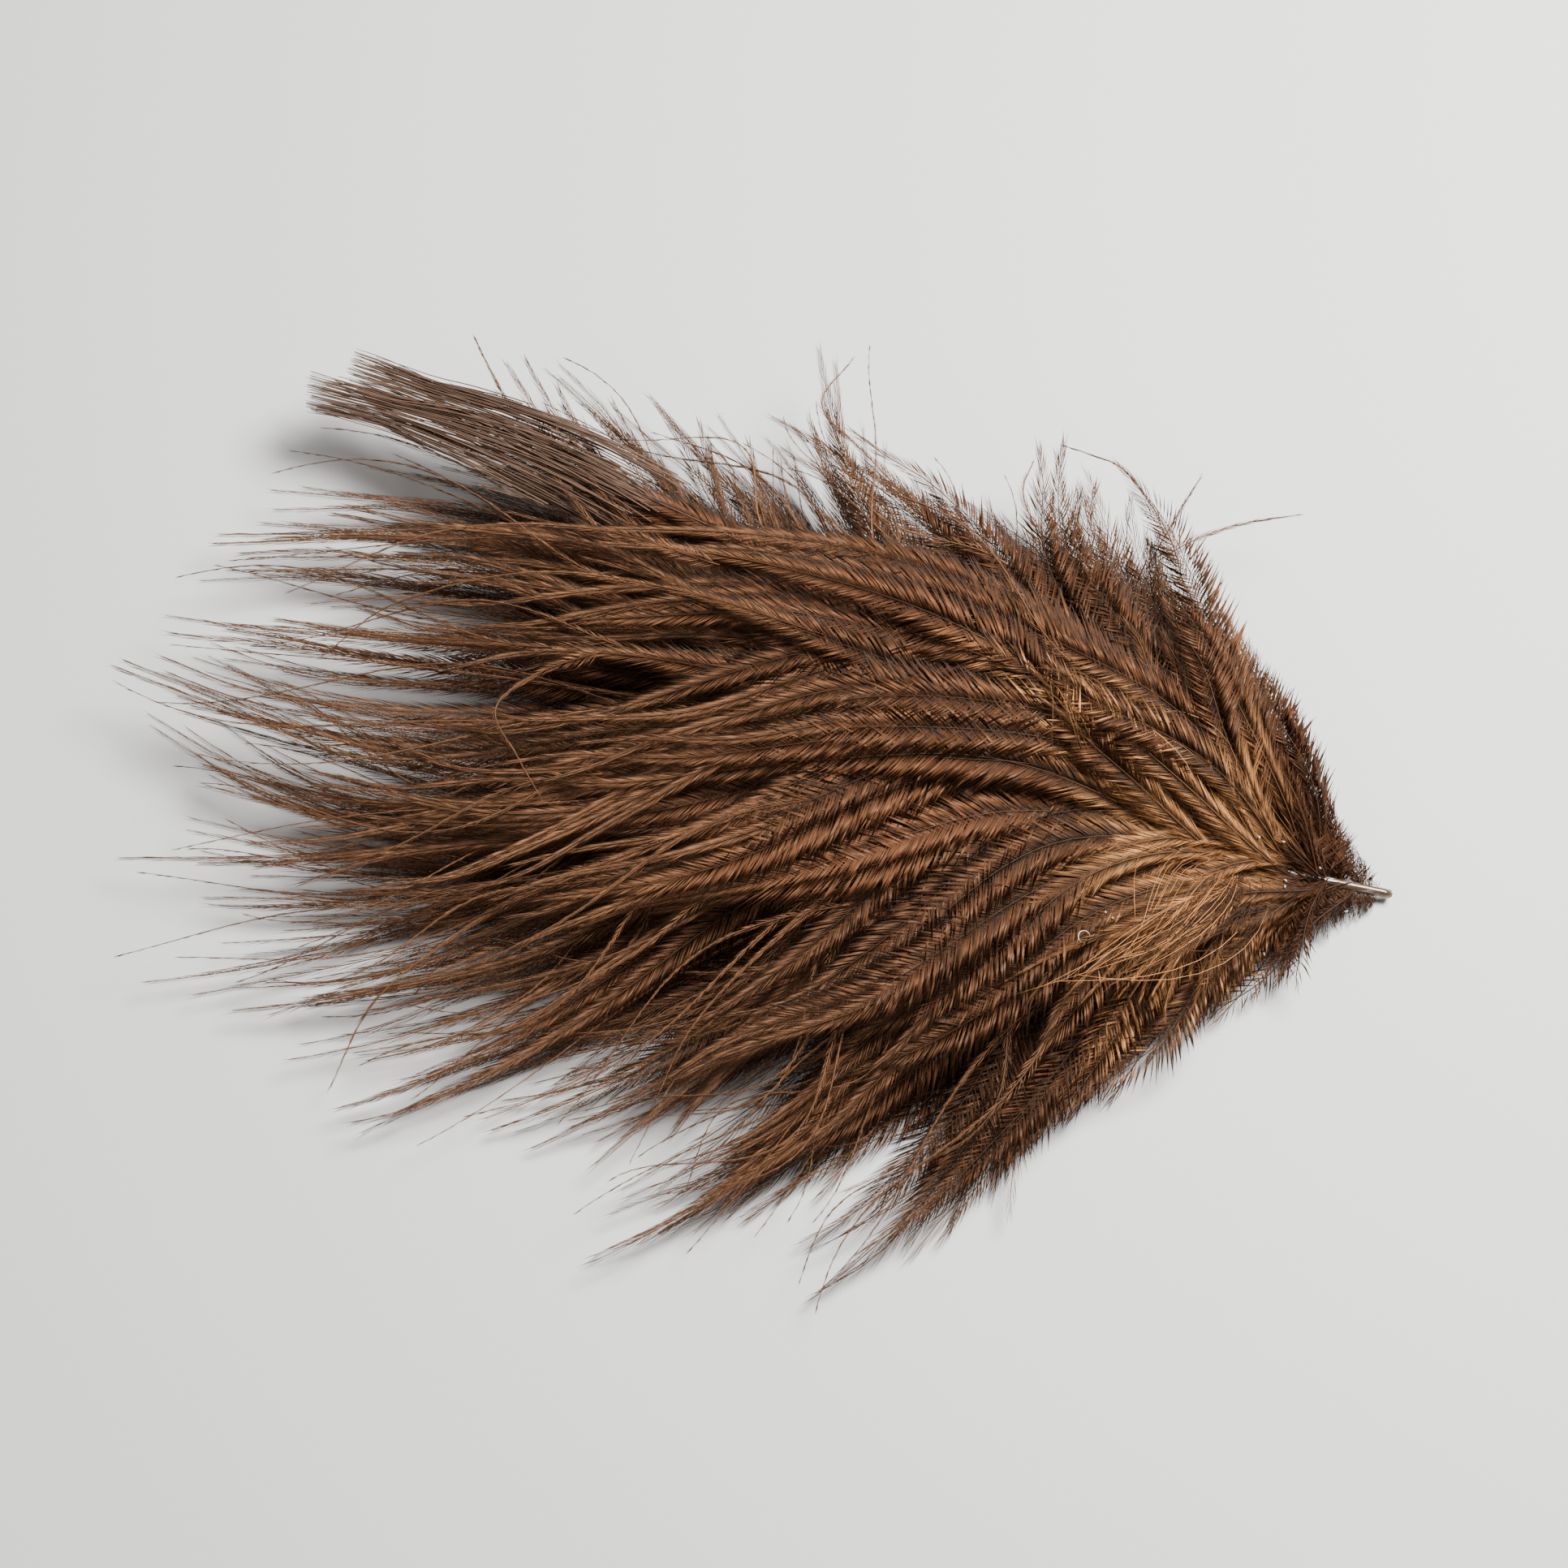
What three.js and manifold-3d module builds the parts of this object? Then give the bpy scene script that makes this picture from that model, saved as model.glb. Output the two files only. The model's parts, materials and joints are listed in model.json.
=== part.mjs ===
// A marabou feather lying on its underside: one grown piece, a short tapered shaft
// with long soft locks of down that sweep back from it. Millimetres, +Z up, with the
// origin on the surface under the middle of the feather and the quill towards +X.
import * as THREE from 'three';
import { mergeVertices } from 'three/addons/utils/BufferGeometryUtils.js';
import Module from 'manifold-3d';

// The shaft runs from the cut end of the quill, on the surface, up into the down.
const SHAFT_POINTS = [
  [50, -5.6, 0.7],
  [39, -4.2, 3.0],
  [27, -1.8, 5.4],
  [11, -0.6, 7.0],
  [-2, -0.8, 7.4],
];
const QUILL_RADIUS = 0.38;
const SHAFT_TIP_RADIUS = 0.15;
const SHAFT_SIDES = 10;
const SHAFT_STEPS = 14;

// A lock is as wide as LOCK_BASE_WIDTH plus a share of its length, at its fullest.
const LOCK_BASE_WIDTH = 3;
const LOCK_WIDTH_SHARE = 0.07;
const LOCK_FLATNESS = 0.52;
const LOCK_SIDES = 6;
const LOCK_STEPS = 8;
// A lock swells quickly from its root and thins out slowly towards its tip.
const ROOT_SWELL = 0.5;
const TIP_TAPER = 0.75;
const ROOT_SHARE = 0.02;

// Every lock: where it leaves the shaft, as a share of the shaft from the cut end,
// the x, y and z of its tip, the height of its middle, and how far its middle bows and
// its halves sway to the side, both as a share of its length.
// The locks round the edge, from the quill over the back to the left and to the front:
const EDGE_LOCKS = [
  [0.09, 40.3, 7.6, 3, 4, -0.05, 0],
  [0.12, 36.6, 17.4, 4, 6, -0.08, 0],
  [0.13, 32.8, 23.9, 5, 3, -0.08, 0],
  [0.18, 25.1, 31.4, 7, 8, -0.12, 0],
  [0.22, 20.8, 26.6, 4, 2, -0.07, 0],
  [0.24, 16.1, 29.1, 3, 7, -0.05, 0],
  [0.28, 10.8, 32.1, 3, 2, -0.04, 0],
  [0.42, 6.7, 40.5, 6, 8, -0.14, 0.03],
  [0.26, 0.9, 33.0, 6, 8, 0.02, 0],
  [0.38, -3.4, 35.3, 3, 2, -0.04, 0],
  [0.42, -8.7, 37.1, 3, 6, -0.02, 0],
  [0.45, -16.9, 39.2, 4, 3, -0.02, 0],
  [0.45, -23.5, 36.4, 3, 1, 0.02, 0],
  [0.42, -29.0, 35.4, 4, 5, 0.03, -0.01],
  [0.38, -32.0, 38.7, 6, 8, 0.01, -0.02],
  [0.38, -35.3, 36.9, 6, 8, 0.02, -0.02],
  [0.42, -37.6, 30.9, 3, 2, 0.06, -0.03],
  [0.40, -42.2, 26.1, 3, 6, 0.06, -0.03],
  [0.45, -43.0, 20.9, 3, 2, 0.06, -0.02],
  [0.45, -45.5, 17.7, 4, 6, 0.05, 0],
  [0.42, -43.0, 14.4, 4, 3, 0.04, 0.03],
  [0.40, -50.0, 10.6, 6, 5, 0.03, 0.06],
  [0.42, -47.1, 7.6, 4, 2, 0.02, 0.06],
  [0.40, -42.5, 4.0, 3, 4, 0.03, 0.06],
  [0.42, -43.0, 0.4, 3, 1, 0.03, 0.06],
  [0.40, -48.6, -4.6, 3, 6, 0.05, 0.04],
  [0.38, -42.0, -8.6, 2, 3, 0.06, 0.05],
  [0.36, -46.4, -12.6, 2, 1, 0.08, 0.05],
  [0.35, -39.5, -15.1, 2, 5, 0.07, 0.04],
  [0.34, -35.2, -18.9, 2, 2, 0.07, 0.04],
  [0.32, -31.7, -22.9, 2, 5, 0.08, 0.03],
  [0.34, -26.9, -24.5, 1, 1, 0.05, 0.02],
  [0.34, -19.5, -25.5, 1, 5, 0.06, 0.03],
  [0.33, -13.7, -25.0, 2, 2, 0.06, 0.03],
  [0.30, -11.5, -29.0, 2, 6, 0.06, 0.03],
  [0.28, -12.5, -36.1, 2, 2, 0.04, 0.03],
  [0.26, -10.9, -37.3, 1, 5, 0.05, 0.03],
  [0.26, -5.5, -33.0, 1, 3, 0.05, 0.03],
  [0.24, -0.8, -33.4, 1, 1, 0.04, 0.02],
  [0.20, 5.1, -40.5, 1, 3, 0.07, 0.03],
  [0.20, 12.7, -36.3, 1, 2, 0.06, 0.03],
  [0.16, 19.9, -28.4, 1, 4, 0.05, 0.02],
  [0.13, 25.9, -23.1, 1, 2, 0.06, 0.02],
  [0.12, 31.5, -20.2, 1, 4, 0.06, 0.02],
  [0.11, 36.6, -17.2, 1, 1, 0.06, 0.02],
  [0.09, 40.3, -14.1, 2, 2, 0.05, 0],
];
// Shorter locks that lie over the others on the upper side:
const UPPER_LOCKS = [
  [0.16, 30.3, 18.1, 9, 9, -0.06, 0],
  [0.20, 17.7, 16.2, 10, 11, -0.04, 0],
  [0.24, 5.1, 22.5, 9, 11, -0.02, 0],
  [0.28, -4.6, 13.6, 9, 12, 0.04, 0.02],
  [0.24, -18.8, 24.0, 7, 12, 0.05, 0],
  [0.34, -33.5, 21.5, 5, 9, 0.05, 0],
  [0.30, -26.0, 14.5, 7, 11, 0.06, 0.02],
  [0.28, -23.8, 5.4, 7, 12, 0.06, 0.05],
  [0.30, -34.0, -1.5, 5, 9, 0.07, 0.05],
  [0.22, -10.0, 2.8, 8, 12, 0.09, 0.05],
  [0.22, -17.5, -14.2, 6, 11, 0.12, 0.05],
  [0.22, -30.7, -9.7, 4, 11, 0.10, 0.05],
  [0.20, -6.2, -22.8, 5, 10, 0.10, 0.04],
  [0.18, 5.8, -24.9, 4, 9, 0.08, 0.04],
  [0.14, 16.4, -21.5, 5, 7, 0.08, 0.03],
  [0.12, 26.5, -16.2, 5, 6, 0.08, 0.02],
];

// The space below the surface, which is cut away from the feather, is a cube of this size.
const BED_SIZE = 200;

const wasm = await Module();
wasm.setup();

const shaftCurve = new THREE.CatmullRomCurve3(
  SHAFT_POINTS.map((p) => new THREE.Vector3(...p)),
  false,
  'catmullrom',
  0.5,
);

// The two directions across a curve that runs along tangent, the first one level.
function across(tangent) {
  const level = new THREE.Vector3(tangent.y, -tangent.x, 0).normalize();
  const rising = new THREE.Vector3().crossVectors(level, tangent).normalize();
  return [level, rising];
}

// A closed skin over rings of points, with a point or a flat end before and after them.
function loft(start, rings, end) {
  const sides = rings[0].length;
  const points = [start, ...rings.flat(), end];
  const last = points.length - 1;
  const faces = [];
  const ringPoint = (ring, side) => 1 + ring * sides + (side % sides);
  for (let side = 0; side < sides; side += 1) {
    faces.push(0, ringPoint(0, side), ringPoint(0, side + 1));
    faces.push(last, ringPoint(rings.length - 1, side + 1), ringPoint(rings.length - 1, side));
    for (let ring = 0; ring + 1 < rings.length; ring += 1) {
      const near = ringPoint(ring, side);
      const nearNext = ringPoint(ring, side + 1);
      const far = ringPoint(ring + 1, side);
      const farNext = ringPoint(ring + 1, side + 1);
      faces.push(near, far, nearNext, nearNext, far, farNext);
    }
  }
  const geometry = new THREE.BufferGeometry().setFromPoints(points);
  geometry.setIndex(faces);
  return geometry;
}

// A ring of points round a centre, as an ellipse with the given half width and half height.
function ringAround(centre, tangent, halfWidth, halfHeight, sides) {
  const [level, rising] = across(tangent);
  return Array.from({ length: sides }, (_, side) => {
    const angle = (side / sides) * 2 * Math.PI;
    return centre
      .clone()
      .addScaledVector(level, halfWidth * Math.cos(angle))
      .addScaledVector(rising, halfHeight * Math.sin(angle));
  });
}

function shaftGeometry() {
  const rings = [];
  for (let step = 0; step <= SHAFT_STEPS; step += 1) {
    const share = step / SHAFT_STEPS;
    const radius = THREE.MathUtils.lerp(QUILL_RADIUS, SHAFT_TIP_RADIUS, share * share);
    const tangent = shaftCurve.getTangent(share);
    rings.push(ringAround(shaftCurve.getPoint(share), tangent, radius, radius, SHAFT_SIDES));
  }
  return loft(shaftCurve.getPoint(0), rings, shaftCurve.getPoint(1));
}

// The middle line of a lock: a straight line from root to tip, bent by sines.
function lockPoint(share, root, tip, middleHeight, bow, sway) {
  const along = new THREE.Vector3().subVectors(tip, root);
  const side = new THREE.Vector3(along.y, -along.x, 0);
  const half = Math.sin(Math.PI * share);
  const full = Math.sin(2 * Math.PI * share);
  const point = new THREE.Vector3().lerpVectors(root, tip, share);
  point.addScaledVector(side, bow * half + sway * full);
  point.z += (middleHeight - (root.z + tip.z) / 2) * half;
  return point;
}

function lockGeometry([rootShare, tipX, tipY, tipZ, middleHeight, bow, sway]) {
  const root = shaftCurve.getPoint(rootShare);
  const tip = new THREE.Vector3(tipX, tipY, tipZ);
  const pointAt = (share) => lockPoint(share, root, tip, middleHeight, bow, sway);
  const fullWidth = LOCK_BASE_WIDTH + LOCK_WIDTH_SHARE * root.distanceTo(tip);
  const swell = (share) => (share + ROOT_SHARE) ** ROOT_SWELL * (1 - share) ** TIP_TAPER;
  const fullest = ROOT_SWELL / (ROOT_SWELL + TIP_TAPER);
  const rings = [];
  for (let step = 0; step < LOCK_STEPS; step += 1) {
    const share = step / LOCK_STEPS;
    const halfWidth = (fullWidth / 2) * (swell(share) / swell(fullest));
    const tangent = new THREE.Vector3().subVectors(
      pointAt(share + 0.5 / LOCK_STEPS),
      pointAt(share - 0.5 / LOCK_STEPS),
    );
    rings.push(ringAround(pointAt(share), tangent, halfWidth, halfWidth * LOCK_FLATNESS, LOCK_SIDES));
  }
  return loft(root, rings, tip);
}

function solidOf(geometry) {
  geometry.deleteAttribute('normal');
  geometry.deleteAttribute('uv');
  const merged = mergeVertices(geometry);
  return new wasm.Manifold(
    new wasm.Mesh({
      numProp: 3,
      vertProperties: merged.attributes.position.array,
      triVerts: new Uint32Array(merged.index.array),
    }),
  );
}

function geometryOf(solid) {
  const mesh = solid.getMesh();
  const geometry = new THREE.BufferGeometry();
  geometry.setAttribute('position', new THREE.BufferAttribute(mesh.vertProperties, 3));
  geometry.setIndex(new THREE.BufferAttribute(mesh.triVerts, 1));
  geometry.computeVertexNormals();
  return geometry;
}

// The surface that the feather lies on presses the lowest locks flat at z = 0.
function bed() {
  const box = new THREE.BoxGeometry(BED_SIZE, BED_SIZE, BED_SIZE);
  return solidOf(box.translate(0, 0, -BED_SIZE / 2));
}

function featherGeometry() {
  let solid = solidOf(shaftGeometry());
  for (const lock of [...EDGE_LOCKS, ...UPPER_LOCKS]) {
    solid = solid.add(solidOf(lockGeometry(lock)));
  }
  return geometryOf(solid.subtract(bed()));
}

const down = new THREE.MeshStandardMaterial({ color: 0x6e4b32, roughness: 0.85, metalness: 0 });
const feather = new THREE.Mesh(featherGeometry(), down);
feather.name = 'feather';

const group = new THREE.Group();
group.add(feather);

export default group;
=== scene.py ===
"""Marabou feather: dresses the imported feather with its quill, barbs and barbules.

The layout is that of a Blender add-on, run as a script. Lengths are in metres. The lists
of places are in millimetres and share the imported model's frame: +X to the quill, +Z up.
"""
import json
import math
from typing import NamedTuple

import bpy
import numpy as np
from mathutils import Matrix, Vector

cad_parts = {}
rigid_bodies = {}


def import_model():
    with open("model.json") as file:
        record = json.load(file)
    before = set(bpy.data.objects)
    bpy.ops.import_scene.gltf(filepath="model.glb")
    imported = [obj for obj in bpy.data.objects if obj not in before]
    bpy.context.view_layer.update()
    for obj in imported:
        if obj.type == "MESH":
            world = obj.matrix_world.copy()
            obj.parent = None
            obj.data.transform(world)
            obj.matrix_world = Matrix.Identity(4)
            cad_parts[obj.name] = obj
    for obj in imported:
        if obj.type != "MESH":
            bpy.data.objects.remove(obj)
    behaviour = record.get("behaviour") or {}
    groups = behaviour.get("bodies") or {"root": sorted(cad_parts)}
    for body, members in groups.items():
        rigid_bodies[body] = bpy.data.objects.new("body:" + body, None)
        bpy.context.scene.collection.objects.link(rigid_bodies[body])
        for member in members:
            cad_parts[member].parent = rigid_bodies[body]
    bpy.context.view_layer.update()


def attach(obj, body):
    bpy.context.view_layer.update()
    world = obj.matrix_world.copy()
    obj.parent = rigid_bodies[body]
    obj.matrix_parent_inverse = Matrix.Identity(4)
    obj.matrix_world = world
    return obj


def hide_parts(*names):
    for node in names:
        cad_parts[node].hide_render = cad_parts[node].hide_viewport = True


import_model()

bl_info = {
    "name": "Marabou Feather",
    "version": (1, 0, 0),
    "blender": (4, 5, 0),
    "location": "View3D > Sidebar > Feather",
    "description": "Builds a marabou feather: quill, down in layers, strays and flakes",
    "category": "Add Mesh",
}

MM = 0.001
NODE = "feather"
BODY = "root"

# The shaft runs from the cut end of the quill up into the down
SHAFT_POINTS = np.array([
    (50, -5.6, 0.7),
    (39, -4.2, 3.0),
    (27, -1.8, 5.4),
    (11, -0.6, 7.0),
    (-2, -0.8, 7.4),
]) * MM

# The shaft's thickness at the places of ALONG, as shares of the quill's
SHAFT_THICKNESS = (1.0, 1.04, 1.0, 0.85, 0.7, 0.52, 0.36, 0.3)

# A lock is as wide as LOCK_BASE_WIDTH plus a share of its length, at its fullest
LOCK_BASE_WIDTH = 3 * MM
LOCK_WIDTH_SHARE = 0.07
# Its height is a share of its width, and it narrows to both ends by powers, to its root
# as if it started a little before that
LOCK_FLATNESS = 0.52
ROOT_SWELL = 0.5
TIP_TAPER = 0.75
ROOT_SHARE = 0.02

# Every lock: where it leaves the shaft, as a share of the shaft from the cut end, the x, y
# and z of its tip, the height of its middle, how far its middle bows and its halves sway
# to the side, both as a share of its length, and its plume: 1 where its barbs stay
# feathery up to their ends, and 0 where they close early into long threads
EDGE_LOCKS = [
    (0.09, 40.3, 7.6, 3, 4, -0.05, 0, 1),
    (0.12, 36.6, 17.4, 4, 6, -0.08, 0, 1),
    (0.13, 32.8, 23.9, 5, 3, -0.08, 0, 0.9),
    (0.18, 25.1, 31.4, 7, 8, -0.12, 0, 0.8),
    (0.22, 20.8, 26.6, 4, 2, -0.07, 0, 0.8),
    (0.24, 16.1, 29.1, 3, 7, -0.05, 0, 0.7),
    (0.28, 10.8, 32.1, 3, 2, -0.04, 0, 0.5),
    (0.42, 6.7, 40.5, 6, 8, -0.14, 0.03, 0.2),
    (0.26, 0.9, 33.0, 6, 8, 0.02, 0, 0.3),
    (0.38, -3.4, 35.3, 3, 2, -0.04, 0, 0.3),
    (0.42, -8.7, 37.1, 3, 6, -0.02, 0, 0.3),
    (0.45, -16.9, 39.2, 4, 3, -0.02, 0, 0.2),
    (0.45, -23.5, 36.4, 3, 1, 0.02, 0, 0.2),
    (0.42, -29.0, 35.4, 4, 5, 0.03, -0.01, 0.1),
    (0.42, -37.6, 30.9, 3, 2, 0.06, -0.03, 0.1),
    (0.40, -42.2, 26.1, 3, 6, 0.06, -0.03, 0.1),
    (0.45, -43.0, 20.9, 3, 2, 0.06, -0.02, 0.1),
    (0.45, -45.5, 17.7, 4, 6, 0.05, 0, 0.1),
    (0.42, -43.0, 14.4, 4, 3, 0.04, 0.03, 0.1),
    (0.40, -50.0, 10.6, 6, 5, 0.03, 0.06, 0),
    (0.42, -47.1, 7.6, 4, 2, 0.02, 0.06, 0.1),
    (0.40, -42.5, 4.0, 3, 4, 0.03, 0.06, 0.1),
    (0.42, -43.0, 0.4, 3, 1, 0.03, 0.06, 0.1),
    (0.40, -48.6, -4.6, 3, 6, 0.05, 0.04, 0),
    (0.38, -42.0, -8.6, 2, 3, 0.06, 0.05, 0.1),
    (0.36, -46.4, -12.6, 2, 1, 0.08, 0.05, 0),
    (0.35, -39.5, -15.1, 2, 5, 0.07, 0.04, 0.1),
    (0.34, -35.2, -18.9, 2, 2, 0.07, 0.04, 0.1),
    (0.32, -31.7, -22.9, 2, 5, 0.08, 0.03, 0.1),
    (0.34, -26.9, -24.5, 1, 1, 0.05, 0.02, 0.2),
    (0.34, -19.5, -25.5, 1, 5, 0.06, 0.03, 0.3),
    (0.33, -13.7, -25.0, 2, 2, 0.06, 0.03, 0.2),
    (0.30, -11.5, -29.0, 2, 6, 0.06, 0.03, 0.2),
    (0.28, -12.5, -36.1, 2, 2, 0.04, 0.03, 0.3),
    (0.26, -10.9, -37.3, 1, 5, 0.05, 0.03, 0.2),
    (0.26, -5.5, -33.0, 1, 3, 0.05, 0.03, 0.8),
    (0.24, -0.8, -33.4, 1, 1, 0.04, 0.02, 0.8),
    (0.20, 5.1, -40.5, 1, 3, 0.07, 0.03, 0.6),
    (0.20, 12.7, -36.3, 1, 2, 0.06, 0.03, 0.9),
    (0.16, 19.9, -28.4, 1, 4, 0.05, 0.02, 0.8),
    (0.13, 25.9, -23.1, 1, 2, 0.06, 0.02, 0.9),
    (0.12, 31.5, -20.2, 1, 4, 0.06, 0.02, 1),
    (0.11, 36.6, -17.2, 1, 1, 0.06, 0.02, 1),
    (0.09, 40.3, -14.1, 2, 2, 0.05, 0, 1),
]
UPPER_LOCKS = [
    (0.16, 30.3, 18.1, 9, 9, -0.06, 0, 0.8),
    (0.20, 17.7, 16.2, 10, 11, -0.04, 0, 0.8),
    (0.24, 5.1, 22.5, 9, 11, -0.02, 0, 0.8),
    (0.28, -4.6, 13.6, 9, 12, 0.04, 0.02, 0.9),
    (0.24, -18.8, 24.0, 7, 12, 0.05, 0, 0.25),
    (0.34, -33.5, 21.5, 5, 9, 0.05, 0, 0.05),
    (0.30, -26.0, 14.5, 7, 11, 0.06, 0.02, 0.1),
    (0.28, -23.8, 5.4, 7, 12, 0.06, 0.05, 0.1),
    (0.30, -34.0, -1.5, 5, 9, 0.07, 0.05, 0),
    (0.22, -10.0, 2.8, 8, 12, 0.09, 0.05, 0.8),
    (0.22, -17.5, -14.2, 6, 11, 0.12, 0.05, 0.5),
    (0.22, -30.7, -9.7, 4, 11, 0.10, 0.05, 0),
    (0.20, -6.2, -22.8, 5, 10, 0.10, 0.04, 0.6),
    (0.18, 5.8, -24.9, 4, 9, 0.08, 0.04, 0.8),
    (0.14, 16.4, -21.5, 5, 7, 0.08, 0.03, 1),
    (0.12, 26.5, -16.2, 5, 6, 0.08, 0.02, 0.8),
]
# More locks under the others, where those lie apart
GAP_LOCKS = [
    (0.33, -20.0, -22.6, 1.5, 3, 0.05, 0.03, 0.2),
    (0.34, -25.0, -22.0, 1.5, 3, 0.05, 0.03, 0.1),
]
# Soft locks that fill the far right edge
SOFT_LOCKS = [
    (0.12, 38.2, 13.6, 3.2, 4.5, -0.07, 0, 1),
    (0.13, 35.2, 19.6, 4, 5, -0.08, 0, 1),
    (0.15, 31.6, 24.6, 4.6, 5, -0.09, 0, 1),
    (0.17, 27.4, 28.2, 5, 6, -0.10, 0, 0.9),
    (0.20, 22.2, 28.6, 4.6, 5, -0.08, 0, 0.9),
    (0.25, 13.0, 29.6, 3.6, 5, -0.05, 0, 0.8),
]
# An edge lock whose middle hangs no higher than this lies in the lowest layer
BED_HEIGHT = 3
# The filling locks lie between two edge locks, end a little before them and keep low
FILL_REACH = 0.95
FILL_HEIGHT = 1.5

# Rows of single barbs beside and over the quill: the shares of the shaft where the first
# and the last leave it, and the points that their tips follow from the first to the last
WISP_ROWS = (
    ((0.02, 0.22), ((48.6, -4.4, 1.2), (45.5, 1.0, 2.0), (40.6, 8.6, 3.0))),
    ((0.02, 0.20), ((48.8, -6.8, 0.6), (45.5, -8.4, 0.8), (40.2, -12.8, 1.2))),
)
MANTLE_ROWS = (
    ((0.24, 0.40), ((38.0, 8.0, 7.0), (33.0, 8.4, 9.8), (26.5, 7.6, 12.0), (20.8, 6.5, 13.0))),
    ((0.20, 0.32), ((20.5, -18.0, 9.4), (25.0, -19.0, 8.2), (30.5, -18.8, 6.6), (37.0, -16.6, 4))),
)
# The two blunt tufts at the far left, as rows like those of the locks
BLUNT_LOCKS = [
    (0.38, -35.3, 36.9, 6, 8, 0.02, -0.02, 0.7),
    (0.38, -32.0, 38.7, 6, 8, 0.01, -0.02, 0.7),
]
VEIL_ROW = (
    (0.10, 0.32), ((41.5, 6.0, 2.6), (38.6, 14.0, 3.6), (35.0, 20.6, 4.6), (31.0, 25.6, 5.4),
                   (26.0, 30.6, 6.4), (22.5, 29.4, 5.6), (18.0, 27.6, 4), (12.0, 30.6, 3.4),
                   (4.0, 32.6, 4)),
)
# Combed locks along the far left edge, which lie on the others there and curve up
CREST_LOCKS = [
    (0.46, 0.5, 32.0, 6, 8, -0.12, 0.02, 0.3),
    (0.46, -4.5, 33.5, 6, 8, -0.12, 0.02, 0.2),
    (0.46, -9.5, 36.0, 6, 8, -0.11, 0.02, 0.1),
    (0.46, -14.5, 37.2, 6, 8, -0.10, 0.02, 0.1),
    (0.46, -19.5, 38.3, 7, 8, -0.09, 0.02, 0.1),
]
# Flakes of the quill's sheath in the down: x, the y where the camera sees them against
# the surface's level, and their length; the last one is curled to a ring
FLAKES = (
    (39.7, -0.2, 0.36),
    (41.6, -0.6, 0.42),
    (44.5, -2.9, 0.42),
    (41.7, -4.0, 0.40),
    (41.6, -4.5, 0.34),
    (46.5, -6.7, 0.44),
    (40.0, -10.4, 0.5),
    (27.5, -6.6, 0.30),
    (28.0, -7.1, 0.22),
    (25.8, -8.7, 0.90),
)
FLAKE_THICKNESS = 0.055 * MM
# How far a height moves a point up in the camera's picture, against a length in y
SEEN_SLANT = 0.532

# Single barbs that stray from the others, as points that they pass through
STRAY_BARBS = (
    ((48.6, -6.1, 0.9), (43.0, -5.6, 2.4), (36.5, -6.6, 5.0), (28.0, -9.0, 8.2)),
    ((31.5, 21.5, 4), (35.0, 23.6, 4.6), (39.0, 25.0, 5), (43.5, 25.3, 6)),
    ((31.8, 22.0, 4), (33.6, 25.2, 4.6), (35.9, 28.7, 6)),
    ((34.4, 19.5, 5), (33.4, 23.1, 6), (31.5, 26.3, 7), (29.6, 28.4, 8), (27.1, 29.9, 7.6),
     (25.2, 31.0, 7)),
    ((-15.5, 29.0, 5), (-17.8, 33.2, 6), (-20.2, 37.6, 7.2), (-21.6, 40.4, 8)),
    ((-11.0, 9.5, 12.4), (-16.0, 7.6, 12.2), (-19.2, 4.6, 12), (-17.4, 0.6, 11.6),
     (-15.6, -2.6, 11)),
    ((-8.0, -6.5, 9.4), (-16.0, -9.0, 8.0), (-22.5, -12.1, 6), (-28.4, -16.6, 4),
     (-31.7, -22.9, 2)),
    ((12.0, -7.0, 10.2), (4.0, -12.4, 9.6), (-3.5, -19.6, 7.4), (-7.0, -25.8, 4.8)),
    ((6.0, 10.5, 13.2), (-4.0, 14.0, 13.4), (-16.0, 16.5, 12.4), (-27.0, 15.4, 9.6),
     (-33.0, 12.0, 7)),
    ((-2.0, 17.0, 12.6), (-12.0, 20.6, 12.0), (-24.0, 21.6, 9.8), (-36.0, 18.0, 6.4)),
    ((9.0, -2.5, 12.0), (-3.0, -5.5, 12.0), (-14.0, -12.5, 9.6), (-23.0, -15.5, 6.6),
     (-33.0, -16.0, 4)),
    ((14.0, 24.0, 8), (9.5, 29.0, 9), (6.0, 33.5, 9), (8.4, 38.4, 8)),
    ((23.5, 21.0, 8), (21.8, 25.5, 8.6), (22.6, 29.0, 8)),
)

FULL_TURN = 2 * math.pi
GOLDEN_ANGLE = math.pi * (3 - math.sqrt(5))
# The least length that a vector is divided by, and where waves start, in radians
TINY = 1e-12
PHASES = (0, 6)
# Points along a lock's barb, a row's single barb and a bare hair, and a barb's sides
BARB_STATIONS = 26
ROW_STATIONS = 16
HAIR_STATIONS = 12
BARB_SIDES = 3
# Locks shorter than this wave less and have shorter barbules
FULL_LENGTH = 45 * MM

# How a barb changes along itself, at the shares of ALONG. The angle of its barbules in
# degrees, their length and the barb's own thickness go by its reach, which is the share of
# its length bent by a power: barbules lie close at the root, stand off in the middle, and
# close round the barb at its end. Length and thickness are shares of the fullest
ALONG = (0.0, 0.12, 0.24, 0.42, 0.58, 0.72, 0.90, 1.0)
OPEN_ANGLE = (20, 38, 50, 50, 36, 18, 9, 6)
COVERED_ANGLE = (20, 36, 46, 46, 30, 16, 9, 6)
BARBULE_REACH = (0.8, 0.95, 1.0, 0.95, 0.85, 0.75, 0.6, 0.45)
BARB_THICKNESS = (1.4, 1.2, 1.0, 0.9, 0.9, 1.0, 0.8, 0.4)
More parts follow.
